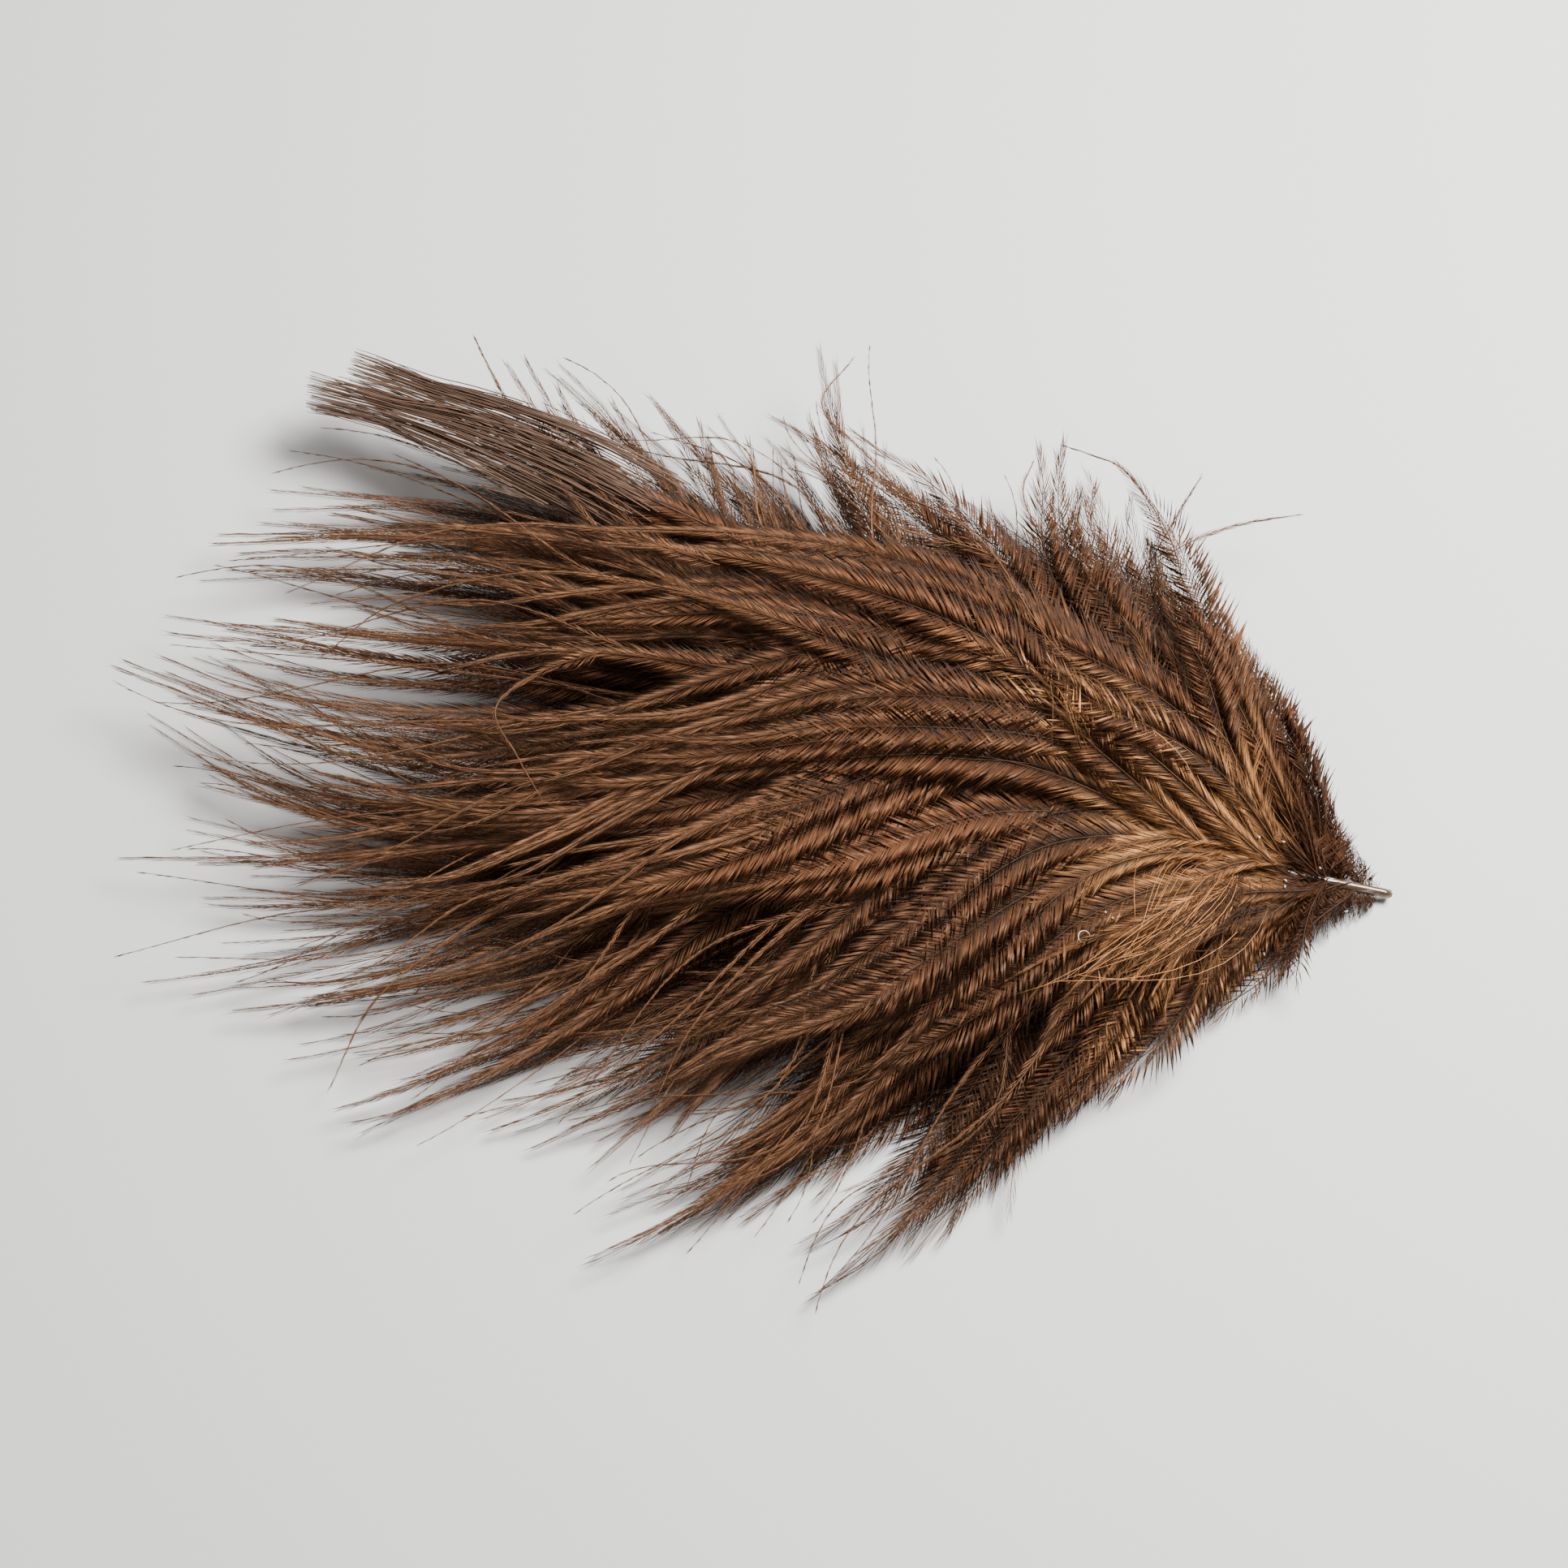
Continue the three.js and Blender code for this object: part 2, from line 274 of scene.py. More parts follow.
# How densely the barbules stand and how wide they are goes by the plain share of the
# barb's length. In layers that others cover, the hidden parts have few but wide ones
OPEN_DENSITY = (0.9, 1.0, 1.0, 0.95, 0.85, 0.65, 0.55, 0.5)
OPEN_WIDTH = (1, 1, 1, 1, 1, 1, 1, 1)
COVERED_DENSITY = (0.12, 0.15, 0.3, 0.62, 0.9, 0.85, 0.8, 0.6)
COVERED_WIDTH = (2.6, 2.6, 1.9, 1.2, 1, 0.75, 0.5, 0.4)
# In the short locks by the quill, whose plume is at least this, no part is covered
OPEN_PLUME = 0.8
# A barb's reach bends by a power that grows with its lock's plume
THREAD_POWER = 0.9
PLUME_POWER = 1.5
# Barbs of one lock keep apart at their tips by this share of its width
TIP_WIDTH = 0.45

# Each barb of a lock waves by itself and ripples near its end, and all of them sway
# together: how far, in millimetres, and how many waves that makes along the lock
BARB_WAVE, BARB_BEATS = (0.2, 0.7), (0.5, 1.4)
BARB_RIPPLE, RIPPLE_BEATS = 0.12, (2, 4)
LOCK_SWAY, SWAY_BEATS = (0.9, 2.4), (0.6, 1.1)
SWAY_POWER = 0.8
# Loose barbs fall short of the tip by up to this share, and fan out less upward than aside
SHORTFALL = 0.2
FAN_RISE = 0.45
# The barbs of a lock leave the shaft within this share of it to each side
ROOT_SPREAD = 0.05
# A barb's two rows of barbules are banked by this share of its lock's own slope there,
# which is eased at the lock's edges
BANKING = 0.2
EDGE_EASE = 0.15

# Barbules stand between these shares of a barb, each within this part of its own space
FEATHERED = (0.01, 0.99)
OWN_SPACE = (0.25, 0.75)
DENSITY_STEPS = 200
# A barb's rows of barbules lean up and down along it by up to LEAN degrees and roll by
# ROLL, their tips droop by up to DROOP of their length, and their tones and angles spread
# about the barb's. Neighbours clump together in angle and in size
LEAN = 5
ROLL = 4
DROOP = 0.10
TONE_SPREAD = 0.28
ANGLE_SPREAD = 0.07
CLUMP_ANGLE = 0.04
CLUMP_SIZE = 0.1
SIZE_SPREAD = (0.82, 1.08)
# The waves that draw barbules together: each one's length and strength
CLUMP_WAVES = ((2.3 * MM, 0.5), (1.1 * MM, 0.4), (0.62 * MM, 0.3))
# A barbule bends inward and is widest at its elbow
ELBOW = 0.42
TIP_CLOSING = 0.78
BARBULE_FLATNESS = 0.8

# Down that would pass through the surface lies within this height above it
PRESSED = 0.6 * MM


def length_property(label, about, value):
    """A length in the panel, whose default is given in millimetres."""
    return bpy.props.FloatProperty(name=label, description=about, default=value * MM,
                                   unit="LENGTH")


def colour_property(label, about, value):
    """A colour in the panel, as linear values."""
    return bpy.props.FloatVectorProperty(name=label, description=about, default=value,
                                         subtype="COLOR", size=3, min=0, max=1)


def power_property(label, about, value):
    """The power of a light in the panel, in watts."""
    return bpy.props.FloatProperty(name=label, description=about, default=value, unit="POWER")


class FeatherSizes(bpy.types.PropertyGroup):
    """Sizes that change the feather's down and quill."""

    barbule_length: length_property("Barbule Length", "Length of the longest barbules", 4.0)
    upper_width: length_property("Upper Width", "Width of a barbule in the upper layer", 0.066)
    under_width: length_property("Under Width", "Width of a barbule in the layers below", 0.090)
    upper_spacing: length_property(
        "Upper Spacing", "Distance between barbules in the upper layer", 0.135)
    middle_spacing: length_property(
        "Middle Spacing", "Distance between barbules in the middle layer", 0.21)
    under_spacing: length_property(
        "Under Spacing", "Distance between barbules in the lowest layer", 0.38)
    barb_radius: length_property("Barb Radius", "Radius of a barb's own shaft at its root", 0.055)
    quill_radius: length_property("Quill Radius", "Radius of the quill at its cut end", 0.36)
    tip_fan: length_property("Tip Fan", "How far the barbs of one lock part at their tips", 1.1)


class FeatherColours(bpy.types.PropertyGroup):
    """Colours of the feather, as linear values."""

    root: colour_property("Root", "Golden tan of the down close to the quill", (0.40, 0.178, 0.064))
    middle: colour_property(
        "Middle", "Brown of the down in the middle of the feather", (0.095, 0.0350, 0.0140))
    tip: colour_property("Tip", "Light tan of the thread-like tips", (0.158, 0.0700, 0.0320))
    shaft: colour_property(
        "Barb Shaft", "Dark brown of the barbs' own shafts", (0.022, 0.011, 0.006))
    # Deep: painted shade, the darker orange brown given to down under other layers, and also the
    # plain dark brown of the wisps, the strays' shafts and the down by the quill
    deep_brown_and_shade: colour_property(
        "Deep", "Orange brown of the down inside the feather", (0.044, 0.012, 0.0028))
    quill: colour_property("Quill", "Pale horn of the quill", (0.08, 0.045, 0.022))
    sheath: colour_property("Sheath", "Whitish flakes of the sheath", (0.72, 0.70, 0.66))


class FeatherStudio(bpy.types.PropertyGroup):
    """The camera and the light."""

    camera_elevation: bpy.props.FloatProperty(
        name="Camera Elevation", description="Angle of the camera above the horizon",
        default=math.radians(62), subtype="ANGLE")
    camera_distance: length_property(
        "Camera Distance", "Distance from the camera to the feather", 600)
    frame_width: length_property(
        "Frame Width", "Width that the picture shows at the feather", 121.5)
    floor: colour_property("Floor", "Plain pale floor", (0.74, 0.73, 0.71))
    key_power: power_property("Key Power", "Power of the main light in watts", 3.1)
    fill_power: power_property("Fill Power", "Power of the softer second light in watts", 0.65)


def unit(vectors):
    """The vectors, each at length one."""
    return vectors / np.maximum(np.linalg.norm(vectors, axis=-1, keepdims=True), TINY)


def across(tangent):
    """The two directions across a line, the first one level and the second rising."""
    level = unit(np.stack([tangent[..., 1], -tangent[..., 0], 0 * tangent[..., 0]], axis=-1))
    return level, np.cross(level, tangent)


def tangents(lines):
    """The directions along lines of points, each at length one."""
    return unit(np.gradient(lines, axis=-2))


def turned(first, second, angle):
    """Directions turned by angles from the first ones towards the second ones."""
    return first * np.cos(angle)[:, None] + second * np.sin(angle)[:, None]


def between(place, places, points):
    """Points along a line at any place between its own."""
    return np.stack([np.interp(place, places, points[:, k]) for k in range(3)], axis=-1)


def curve(points, place):
    """Points of a smooth Catmull-Rom curve, at places that count its given points."""
    span = np.minimum(place.astype(int), len(points) - 2)
    t = (place - span)[..., None]
    points = np.vstack([2 * points[0] - points[1], points, 2 * points[-1] - points[-2]])
    a, b, c, d = (points[span + k] for k in range(4))
    return 0.5 * (2 * b + (c - a) * t + (2 * a - 5 * b + 4 * c - d) * t**2
                  + (3 * b - a - 3 * c + d) * t**3)


def smooth_line(points, count):
    """A smooth line through some places in millimetres."""
    return curve(np.array(points) * MM, np.linspace(0, len(points) - 1, count))


def shaft_point(share):
    """Points on the shaft at shares of its length from the cut end."""
    return curve(SHAFT_POINTS, np.clip(np.asarray(share, float), 0, 1) * (len(SHAFT_POINTS) - 1))


def swell(share):
    """How full a lock is along its length, one at its fullest."""
    fullest = ROOT_SWELL / (ROOT_SWELL + TIP_TAPER)
    full = (fullest + ROOT_SHARE)**ROOT_SWELL * (1 - fullest)**TIP_TAPER
    return (share + ROOT_SHARE)**ROOT_SWELL * (1 - share)**TIP_TAPER / full


class Lock:
    """One lock of down: the line and the width that its barbs share."""

    def __init__(self, row):
        self.root_share = row[0]
        self.tip = np.array(row[1:4]) * MM
        self.middle_height = row[4] * MM
        self.bow, self.sway, self.plume = row[5:]
        self.root = shaft_point(self.root_share)
        self.length = float(np.linalg.norm(self.tip - self.root))
        self.half_width = (LOCK_BASE_WIDTH + LOCK_WIDTH_SHARE * self.length) / 2

    def line(self, share):
        """Points of the lock's middle line: a straight line bent by sines."""
        share = share[..., None]
        chord = self.tip - self.root
        side = np.array([chord[1], -chord[0], 0])
        half = np.sin(np.pi * share)
        full = np.sin(FULL_TURN * share)
        rise = self.middle_height - (self.root[2] + self.tip[2]) / 2
        up = np.array([0, 0, rise])
        return self.root + chord * share + side * (self.bow * half + self.sway * full) + up * half

    def width(self, share):
        """Half the width that its barbs take up, which doesn't close at the tip."""
        return self.half_width * np.maximum(swell(share), TIP_WIDTH * share**2)


class Packing(NamedTuple):
    """How barbs lie about their lock's middle line: how far each one turns about it, how
    much it waves, and how much of the lock's width and height they fill."""

    turning: float
    waving: float
    wide: float
    high: float


# On top, barbs lie side by side over a lock's upper half, spread wide and flat. Elsewhere
# they fill the lock all round, a little higher than its solid
ON_TOP = Packing(turning=0.3, waving=2.6, wide=1.5, high=0.7)
ALL_ROUND = Packing(turning=1.0, waving=1.6, wide=1.0, high=1.15)
# Where a barb on top lies within its own share of the half turn, and how far out, and how
# far out the outermost of the others lie, both as shares of the lock's half width
OWN_TURN = (0.3, 0.7)
TOP_RING = (0.86, 1.0)
OUTER_RING = 0.95


def lock_barbs(lock, count, rng, tip_fan, packing, loose):
    """The lines of a lock's barbs, as count by BARB_STATIONS by 3, and how far each one's
    two rows of barbules are banked. Loose ones part, wave and fall short of its tip; at a
    looseness of 0 they don't."""
    share = np.linspace(0, 1, BARB_STATIONS)
    number = np.arange(count)
    outer = number > 0
    if packing is ON_TOP:
        turn = np.pi * (number + rng.uniform(*OWN_TURN, count)) / count
        ring = rng.uniform(*TOP_RING, count)
    else:
        turn = number * GOLDEN_ANGLE + rng.uniform(0, FULL_TURN)
        ring = np.sqrt(number / max(count - 1, 1)) * OUTER_RING
    reach = 1 - rng.uniform(0.0, SHORTFALL, count) * outer * loose
    middle = lock.line(share[None] * reach[:, None])
    level, rising = across(tangents(middle))
    turning = rng.uniform(-packing.turning, packing.turning, count)
    twist = turn[:, None] + turning[:, None] * share
    wide = lock.width(share)[None] * ring[:, None]
    fan = rng.normal(0, 1, (2, count, 1)) * tip_fan * loose * share**3 * outer[:, None]
    beats = rng.uniform(*BARB_BEATS, (2, count, 1))
    start = rng.uniform(0, FULL_TURN, (2, count, 1))
    wave = rng.uniform(*BARB_WAVE, (2, count, 1)) * MM * np.sin(FULL_TURN * beats * share + start)
    shared = rng.uniform(*LOCK_SWAY) * MM * np.sin(FULL_TURN * rng.uniform(*SWAY_BEATS) * share
                                                   + rng.uniform(0, FULL_TURN))
    ripple = rng.uniform(*RIPPLE_BEATS, (count, 1)) * share + rng.uniform(0, 1, (count, 1))
    wave[0] += BARB_RIPPLE * MM * np.sin(FULL_TURN * ripple) * share
    size = min(1, lock.length / FULL_LENGTH) * loose
    sway = (wave[0] * packing.waving * outer[:, None] + shared) * share**SWAY_POWER * size
    rise = wave[1] * share * size * outer[:, None]
    sideways = wide * np.cos(twist) * packing.wide + fan[0] + sway
    upward = wide * np.sin(twist) * LOCK_FLATNESS * packing.high + fan[1] * FAN_RISE + rise
    lines = middle + level * sideways[..., None] + rising * upward[..., None]
    own_root = lock.root_share + rng.uniform(-ROOT_SPREAD, ROOT_SPREAD, count)
    roots = shaft_point(own_root) - lock.root
    lines += roots[:, None] * ((1 - share)**3)[None, :, None]
    slopes = -np.arctan2(LOCK_FLATNESS * np.cos(turn), np.abs(np.sin(turn)) + EDGE_EASE)
    return lines, slopes * BANKING


def rings(line, tangent, radii, sides):
    """Rings of points round a line, stations by sides by 3."""
    level, rising = across(tangent)
    angle = np.arange(sides) / sides * FULL_TURN
    ring = (np.cos(angle)[None, :, None] * level[:, None]
            + np.sin(angle)[None, :, None] * rising[:, None])
    return line[:, None] + ring * np.asarray(radii)[:, None, None]


class Barb(NamedTuple):
    """What sets one barb apart: its line, its tone from 0 to 1, the power that bends its
    reach, and how far its rows of barbules are banked."""

    line: np.ndarray
    tone: float
    closing: float
    bank: float = 0.0


class Fringe(NamedTuple):
    """How barbules stand: their distance, length and width, how the density, the width and
    the angle change along the barb, and a factor on the angle."""

    spacing: float
    length: float
    width: float
    density: tuple = OPEN_DENSITY
    widths: tuple = OPEN_WIDTH
    angles: tuple = OPEN_ANGLE
    spread: float = 1.0


# Each barb has its own strip of the texture: its tube lies at the bottom, and its barbules
# stand side by side above. A barbule's corners lie so many cells along the strip and so
# high in it, a little lower on the barb's one side, and have these values of the fringe
TUBE_STRIP = 0.16
TUBE_OVERHANG = 0.004
TEXTURE_MARGIN = 0.01
SLIVER_ACROSS = (0, -0.4, 0.4, 0)
SLIVER_UP = (0.24, 0.55, 0.55, 0.98)
SLIVER_FRINGE = (0.2, 0.6, 0.6, 1.0)
SIDE_SHIFT = 0.005


class Strands:
    """Gathers barbs and barbules, and makes one mesh of them."""

    def __init__(self, rng):
        self.rng = rng
        self.points = []
        self.faces = []
        self.tones = []
        self.reaches = []
        self.fringes = []
        self.places = []
        self.total = 0
        self.band = 0

    def add(self, points, faces, tone, reach, fringe, place):
        """Adds points (n, 3), triangles (m, 3) and the values at the points."""
        self.points.append(points)
        self.faces.append(faces + self.total)
        self.tones.append(np.broadcast_to(tone, len(points)))
        self.reaches.append(reach)
        self.fringes.append(fringe)
        self.places.append(place + np.array([0, self.band]))
        self.total += len(points)

    def add_feathered(self, barb, radius, fringe, sides=BARB_SIDES):
        """Adds a barb with its barbules, and moves on to the next strip of the texture."""
        self.add_barb(barb, radius, sides)
        self.add_barbules(barb, fringe, radius)
        self.next_barb()

    def add_barb(self, barb, radius, sides=BARB_SIDES):
        """Adds a barb's own shaft: a thin tube, closed at both ends."""
        share = np.linspace(0, 1, len(barb.line))
        reach = share**barb.closing
        radii = radius * np.interp(reach, ALONG, BARB_THICKNESS)
        ring = rings(barb.line, tangents(barb.line), radii, sides)
        self.add_tube(ring, share, reach, barb.tone, TUBE_STRIP)

    def add_tube(self, ring, share, reach, tone, strip):
        """Adds a closed tube through rings of points, stations by sides by 3."""
        count, sides = ring.shape[:2]
        ends = np.stack([ring[0].mean(axis=0), ring[-1].mean(axis=0)])
        station, side = np.meshgrid(np.arange(count - 1), np.arange(sides), indexing="ij")
        near = (station * sides + side).ravel()
        near_next = (station * sides + (side + 1) % sides).ravel()
        first = np.arange(sides)
        following = (first + 1) % sides
        last_ring = (count - 1) * sides
        start = np.full(sides, count * sides)
        faces = np.vstack([
            np.stack([near, near + sides, near_next], axis=1),
            np.stack([near_next, near + sides, near_next + sides], axis=1),
            np.stack([start, first, following], axis=1),
            np.stack([start + 1, last_ring + following, last_ring + first], axis=1),
        ])
        reach = np.concatenate([np.repeat(reach, sides), [0, 1]])
        height = np.concatenate([np.tile(first / sides * strip, count), [strip / 2] * 2])
        place = np.concatenate([np.repeat(share, sides), [-TUBE_OVERHANG, 1 + TUBE_OVERHANG]])
        place = np.stack([place, height + TEXTURE_MARGIN], axis=1)
        points = np.vstack([ring.reshape(-1, 3), ends])
        self.add(points, faces, tone, reach, np.zeros(len(points)), place)

    def add_barbules(self, barb, fringe, sink):
        """Adds the barbules on both sides of a barb, as thin closed slivers."""
        rng = self.rng
        line = barb.line
        steps = np.linalg.norm(np.diff(line, axis=0), axis=1)
        arc = np.concatenate([[0], np.cumsum(steps)])
        whole = arc[-1]
        shares = np.linspace(*FEATHERED, DENSITY_STEPS)
        density = np.cumsum(np.interp(shares, ALONG, fringe.density))
        count = int(density[-1] / len(shares) * whole / fringe.spacing)
        if count < 2:
            return
        for side in (-1, 1):
            order = (np.arange(count) + rng.uniform(*OWN_SPACE, count)) / count
            share = np.interp(order * density[-1], density, shares)
            s = share * whole
            reach = share**barb.closing
            base = between(s, arc, line)
            base[:, 2] -= sink
            tangent = unit(between(s, arc, tangents(line)))
            level, rising = across(tangent)
            tuft = clump(s, rng)
            lean = clump(s, rng)
            angle = np.interp(reach, ALONG, fringe.angles) * (1 + CLUMP_ANGLE * tuft)
            angle = np.radians(angle * fringe.spread * rng.normal(1, ANGLE_SPREAD, count))
            roll = barb.bank + np.radians(LEAN * lean + rng.normal(0, ROLL, count))
            size = np.interp(reach, ALONG, BARBULE_REACH) * fringe.length
            size *= (1 + CLUMP_SIZE * tuft) * rng.uniform(*SIZE_SPREAD, count)
            outward = side * turned(level, rising, roll)
            at_base = turned(tangent, outward, angle)
            at_tip = turned(tangent, outward, angle * TIP_CLOSING)
            at_tip[:, 2] -= rng.uniform(0, DROOP, count)
            middle = base + at_base * (size * ELBOW)[:, None]
            tip = middle + at_tip * (size * (1 - ELBOW))[:, None]
            one = unit(np.cross(at_base, rng.normal(0, 1, (count, 3))))
            two = np.cross(at_base, one)
            half = (fringe.width * 0.5 * np.interp(share, ALONG, fringe.widths))[:, None]
            corners = np.stack([base, middle + one * half + two * half * BARBULE_FLATNESS,
                                middle - one * half + two * half * BARBULE_FLATNESS, tip], axis=1)
            tones = np.clip(barb.tone + rng.normal(0, TONE_SPREAD, count), 0, 1)
            self.add_slivers(corners, reach, share, fringe.spacing / whole, tones, side)

    def add_slivers(self, corners, reach, share, cell, tones, side):
        """Adds one thin closed solid per row of four corners."""
        count, size = corners.shape[:2]
        faces = np.array([(0, 1, 2), (3, 2, 1), (0, 3, 1), (0, 2, 3)])
        all_faces = (faces[None] + (np.arange(count) * size)[:, None, None]).reshape(-1, 3)
        u = share[:, None] + np.array(SLIVER_ACROSS)[None] * cell
        v = np.broadcast_to(np.array(SLIVER_UP)[None], u.shape)
        v = v if side > 0 else v - SIDE_SHIFT
        place = np.stack([u, v], axis=-1).reshape(-1, 2)
        self.add(corners.reshape(-1, 3), all_faces, np.repeat(tones, size),
                 np.repeat(reach, size), np.tile(SLIVER_FRINGE, count), place)

    def next_barb(self):
        """Moves on to the next barb's own strip of the texture."""
        self.band += 1

    def make(self, name, material):
        """Makes the mesh, rides it on the body and gives it its material."""
        points = press(np.vstack(self.points))
        faces = np.vstack(self.faces)
        mesh = bpy.data.meshes.new(name)
        mesh.vertices.add(len(points))
        mesh.vertices.foreach_set("co", points.astype(np.float32).ravel())
        mesh.loops.add(faces.size)
        mesh.loops.foreach_set("vertex_index", faces.astype(np.int32).ravel())
        mesh.polygons.add(len(faces))
        mesh.polygons.foreach_set("loop_start", np.arange(0, faces.size, 3, dtype=np.int32))
        mesh.update(calc_edges=True)
        mesh.shade_smooth()
        for label, values in (("tone", self.tones), ("reach", self.reaches),
                              ("fringe", self.fringes)):
            layer = mesh.attributes.new(label, "FLOAT", "POINT")
            layer.data.foreach_set("value", np.concatenate(values).astype(np.float32))
        place = np.vstack(self.places)
        place[:, 0] = TEXTURE_MARGIN + place[:, 0] * (1 - 2 * TEXTURE_MARGIN)
        place[:, 1] /= max(self.band, 1)
        layer = mesh.uv_layers.new(name="OFBake")
        layer.uv.foreach_set("vector", place[faces.ravel()].astype(np.float32).ravel())
        mesh.materials.append(material)
        add_piece(name, mesh)


def clump(s, rng):
    """A soft uneven wave along a barb, which draws neighbouring barbules together."""
    phases = rng.uniform(0, FULL_TURN, len(CLUMP_WAVES))
    return sum(strength * np.sin(FULL_TURN * s / wave + phase)
               for (wave, strength), phase in zip(CLUMP_WAVES, phases))


def press(points):
    """Keeps the down above the surface: what would pass through it is pressed flat."""
    z = points[:, 2]
    low = z < PRESSED
    points[low, 2] = PRESSED * np.exp(z[low] / PRESSED - 1)
    return points


def add_object(name, data):
    """Links a new object to the scene."""
    made = bpy.data.objects.new(name, data)
    bpy.context.scene.collection.objects.link(made)
    return made


def add_piece(name, mesh):
    """Adds a mesh as a piece of the feather that stands for the solid."""
    piece = add_object(name, mesh)
    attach(piece, BODY)
    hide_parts(NODE)


# The tones of whole locks, and how far those of a lock's barbs spread about its own
LOCK_TONES = (0.38, 0.62)
BARB_TONE_SPREAD = 0.15
# A factor on the power that closes each barb, and the fewest barbs in a lock
OWN_CLOSING = (0.75, 1.25)
FEWEST_BARBS = 3
# How far the tips of a lock without a plume fan out, and how much more with a full one
BARE_FAN = 0.8
PLUME_FAN = 0.5


def build_down(name, rows, fringe, material, seed, per_cm, packing=ALL_ROUND, loose=1.0):
    """Builds the barbs of some locks as one piece, per_cm to a centimetre of their width."""
    sizes = bpy.context.scene.feather_sizes
    rng = np.random.default_rng(seed)
    strands = Strands(rng)
    for row in rows:
        lock = Lock(row)
        count = max(FEWEST_BARBS, round(per_cm * lock.half_width * 2 / (10 * MM)))
        short = min(1, (lock.length / FULL_LENGTH)**0.5)
        shade = rng.uniform(*LOCK_TONES)
        fan = sizes.tip_fan * short * (BARE_FAN + PLUME_FAN * lock.plume)
        lines, banks = lock_barbs(lock, count, rng, fan, packing, loose)
        own = fringe._replace(length=fringe.length * short)
        if lock.plume >= OPEN_PLUME:
            own = own._replace(density=OPEN_DENSITY, widths=OPEN_WIDTH)
        for line, bank in zip(lines, banks):
            tone = float(np.clip(shade + rng.normal(0, BARB_TONE_SPREAD), 0, 1))
            closing = (THREAD_POWER + PLUME_POWER * lock.plume) * rng.uniform(*OWN_CLOSING)
            strands.add_feathered(Barb(line, tone, closing, bank), sizes.barb_radius, own)
    strands.make(name, material)


class Sweep(NamedTuple):
    """How the locks of a row vary: how far they bow and sway to either side and rise, as
    shares of their length, how much of the way to their tips they go, and how far those
    scatter."""

    bow: float
    sway: float
    rise: tuple
    reach: tuple
    scatter: float = 0


SINGLE = Sweep(bow=0.08, sway=0.04, rise=(0.04, 0.12), reach=(0.7, 1.1), scatter=0.03)
COMBED = Sweep(bow=0.12, sway=0.10, rise=(0.07, 0.17), reach=(0.6, 1.1))
ROW_SPREAD = 0.02


def row_locks(rows, count, rng, sweep):
    """Locks that leave the shaft one after another, count to a row."""
    for shares, tips in rows:
        for step in (np.arange(count) + rng.uniform(0, 1, count)) / count:
            tip = between(step * (len(tips) - 1), range(len(tips)), np.array(tips))
            share = np.interp(step, (0, 1), shares) + rng.uniform(-ROW_SPREAD, ROW_SPREAD)
            bow = rng.uniform(-sweep.bow, sweep.bow)
            sway = rng.uniform(-sweep.sway, sweep.sway)
            lock = Lock((share, *tip, 0, bow, sway, 1))
            lock.tip = lock.root + (lock.tip - lock.root) * rng.uniform(*sweep.reach)
            if sweep.scatter:
                lock.tip += rng.normal(0, sweep.scatter, 3) * lock.length
            rise = rng.uniform(*sweep.rise) * lock.length
            lock.middle_height = (lock.root[2] + lock.tip[2]) / 2 + rise
            yield lock


# A barbule of a single barb is at most this share of the barb's length, and a factor
# varies the power that closes such a barb
LONGEST_SHARE = 0.4
ROW_CLOSING = (0.85, 1.2)


def build_rows(name, rows, fringe, material, seed, count, closing, radius):
    """Builds rows of single barbs that leave the shaft one after another."""
    rng = np.random.default_rng(seed)
    strands = Strands(rng)
    for lock in row_locks(rows, count, rng, SINGLE):
        line = lock.line(np.linspace(0, 1, ROW_STATIONS))
        barb = Barb(line, rng.uniform(0, 1), closing * rng.uniform(*ROW_CLOSING))
        short = fringe._replace(length=min(fringe.length, lock.length * LONGEST_SHARE))
        strands.add_feathered(barb, radius, short)
    strands.make(name, material)


# This share of the combed clumps is bright, partly their own pale tone and partly a painted
# highlight, and the others are dark. Within a clump the tones spread a little, and its strands part
# aside and less upward, as shares of its width
HIGHLIGHT_SHARE = 0.35
HIGHLIGHT_TONE = 1.6
DARK_TONES = (-0.4, 0.2)
HAIR_TONE_SPREAD = 0.25
BRIGHTEST = 1.8
CLUMP_WIDTH = 0.6
CLUMP_RISE = 0.4
# The strands of a clump meet at this share of its length, from where each ends by itself
MEETING = 1 / 1.1
# How much of its clump's length a strand has, and a factor on its thickness
HAIR_REACH = (0.75, 1.0)
HAIR_THICKNESS = (0.7, 1.3)


def build_hairs(name, rows, material, seed, clumps, hairs, radius):
    """Builds rows of combed clumps of bare strands, which meet again at their tips."""
    rng = np.random.default_rng(seed)
    strands = Strands(rng)
    part = np.linspace(0, 1, HAIR_STATIONS)
    parting = np.sin(np.pi * np.minimum(part / MEETING, 1))[:, None]
    for lock in row_locks(rows, clumps, rng, COMBED):
        # Painted highlight: a share of the clumps is made far brighter than the rest
        highlit = rng.uniform() < HIGHLIGHT_SHARE
        shade = HIGHLIGHT_TONE if highlit else rng.uniform(*DARK_TONES)
        for _ in range(hairs):
            line = lock.line(part * rng.uniform(*HAIR_REACH))
            level, rising = across(tangents(line))
            aside = level * rng.normal(0, 1) + rising * rng.normal(0, CLUMP_RISE)
            line = line + aside * (lock.half_width * CLUMP_WIDTH * parting)
            tone = float(np.clip(shade + rng.normal(0, HAIR_TONE_SPREAD), 0, BRIGHTEST))
            strands.add_barb(Barb(line, tone, 1.0), radius * rng.uniform(*HAIR_THICKNESS))
            strands.next_barb()
    strands.make(name, material)


# Where along a lock the hairs of its tuft start and end, and how much further out those at
# its one side end, as shares of its length
TUFT_STARTS = (0.6, 0.85)
TUFT_ENDS = (0.985, 1.0)
TUFT_SLANT = 0.012
# How far a tuft's hairs wave, in millimetres, and stand off, as a share of its width
TUFT_WAVE = (0.05, 0.2)
TUFT_DEPTH = 0.3
TUFT_TONES = (0.3, 0.9)
TUFT_CLOSING = 3.0


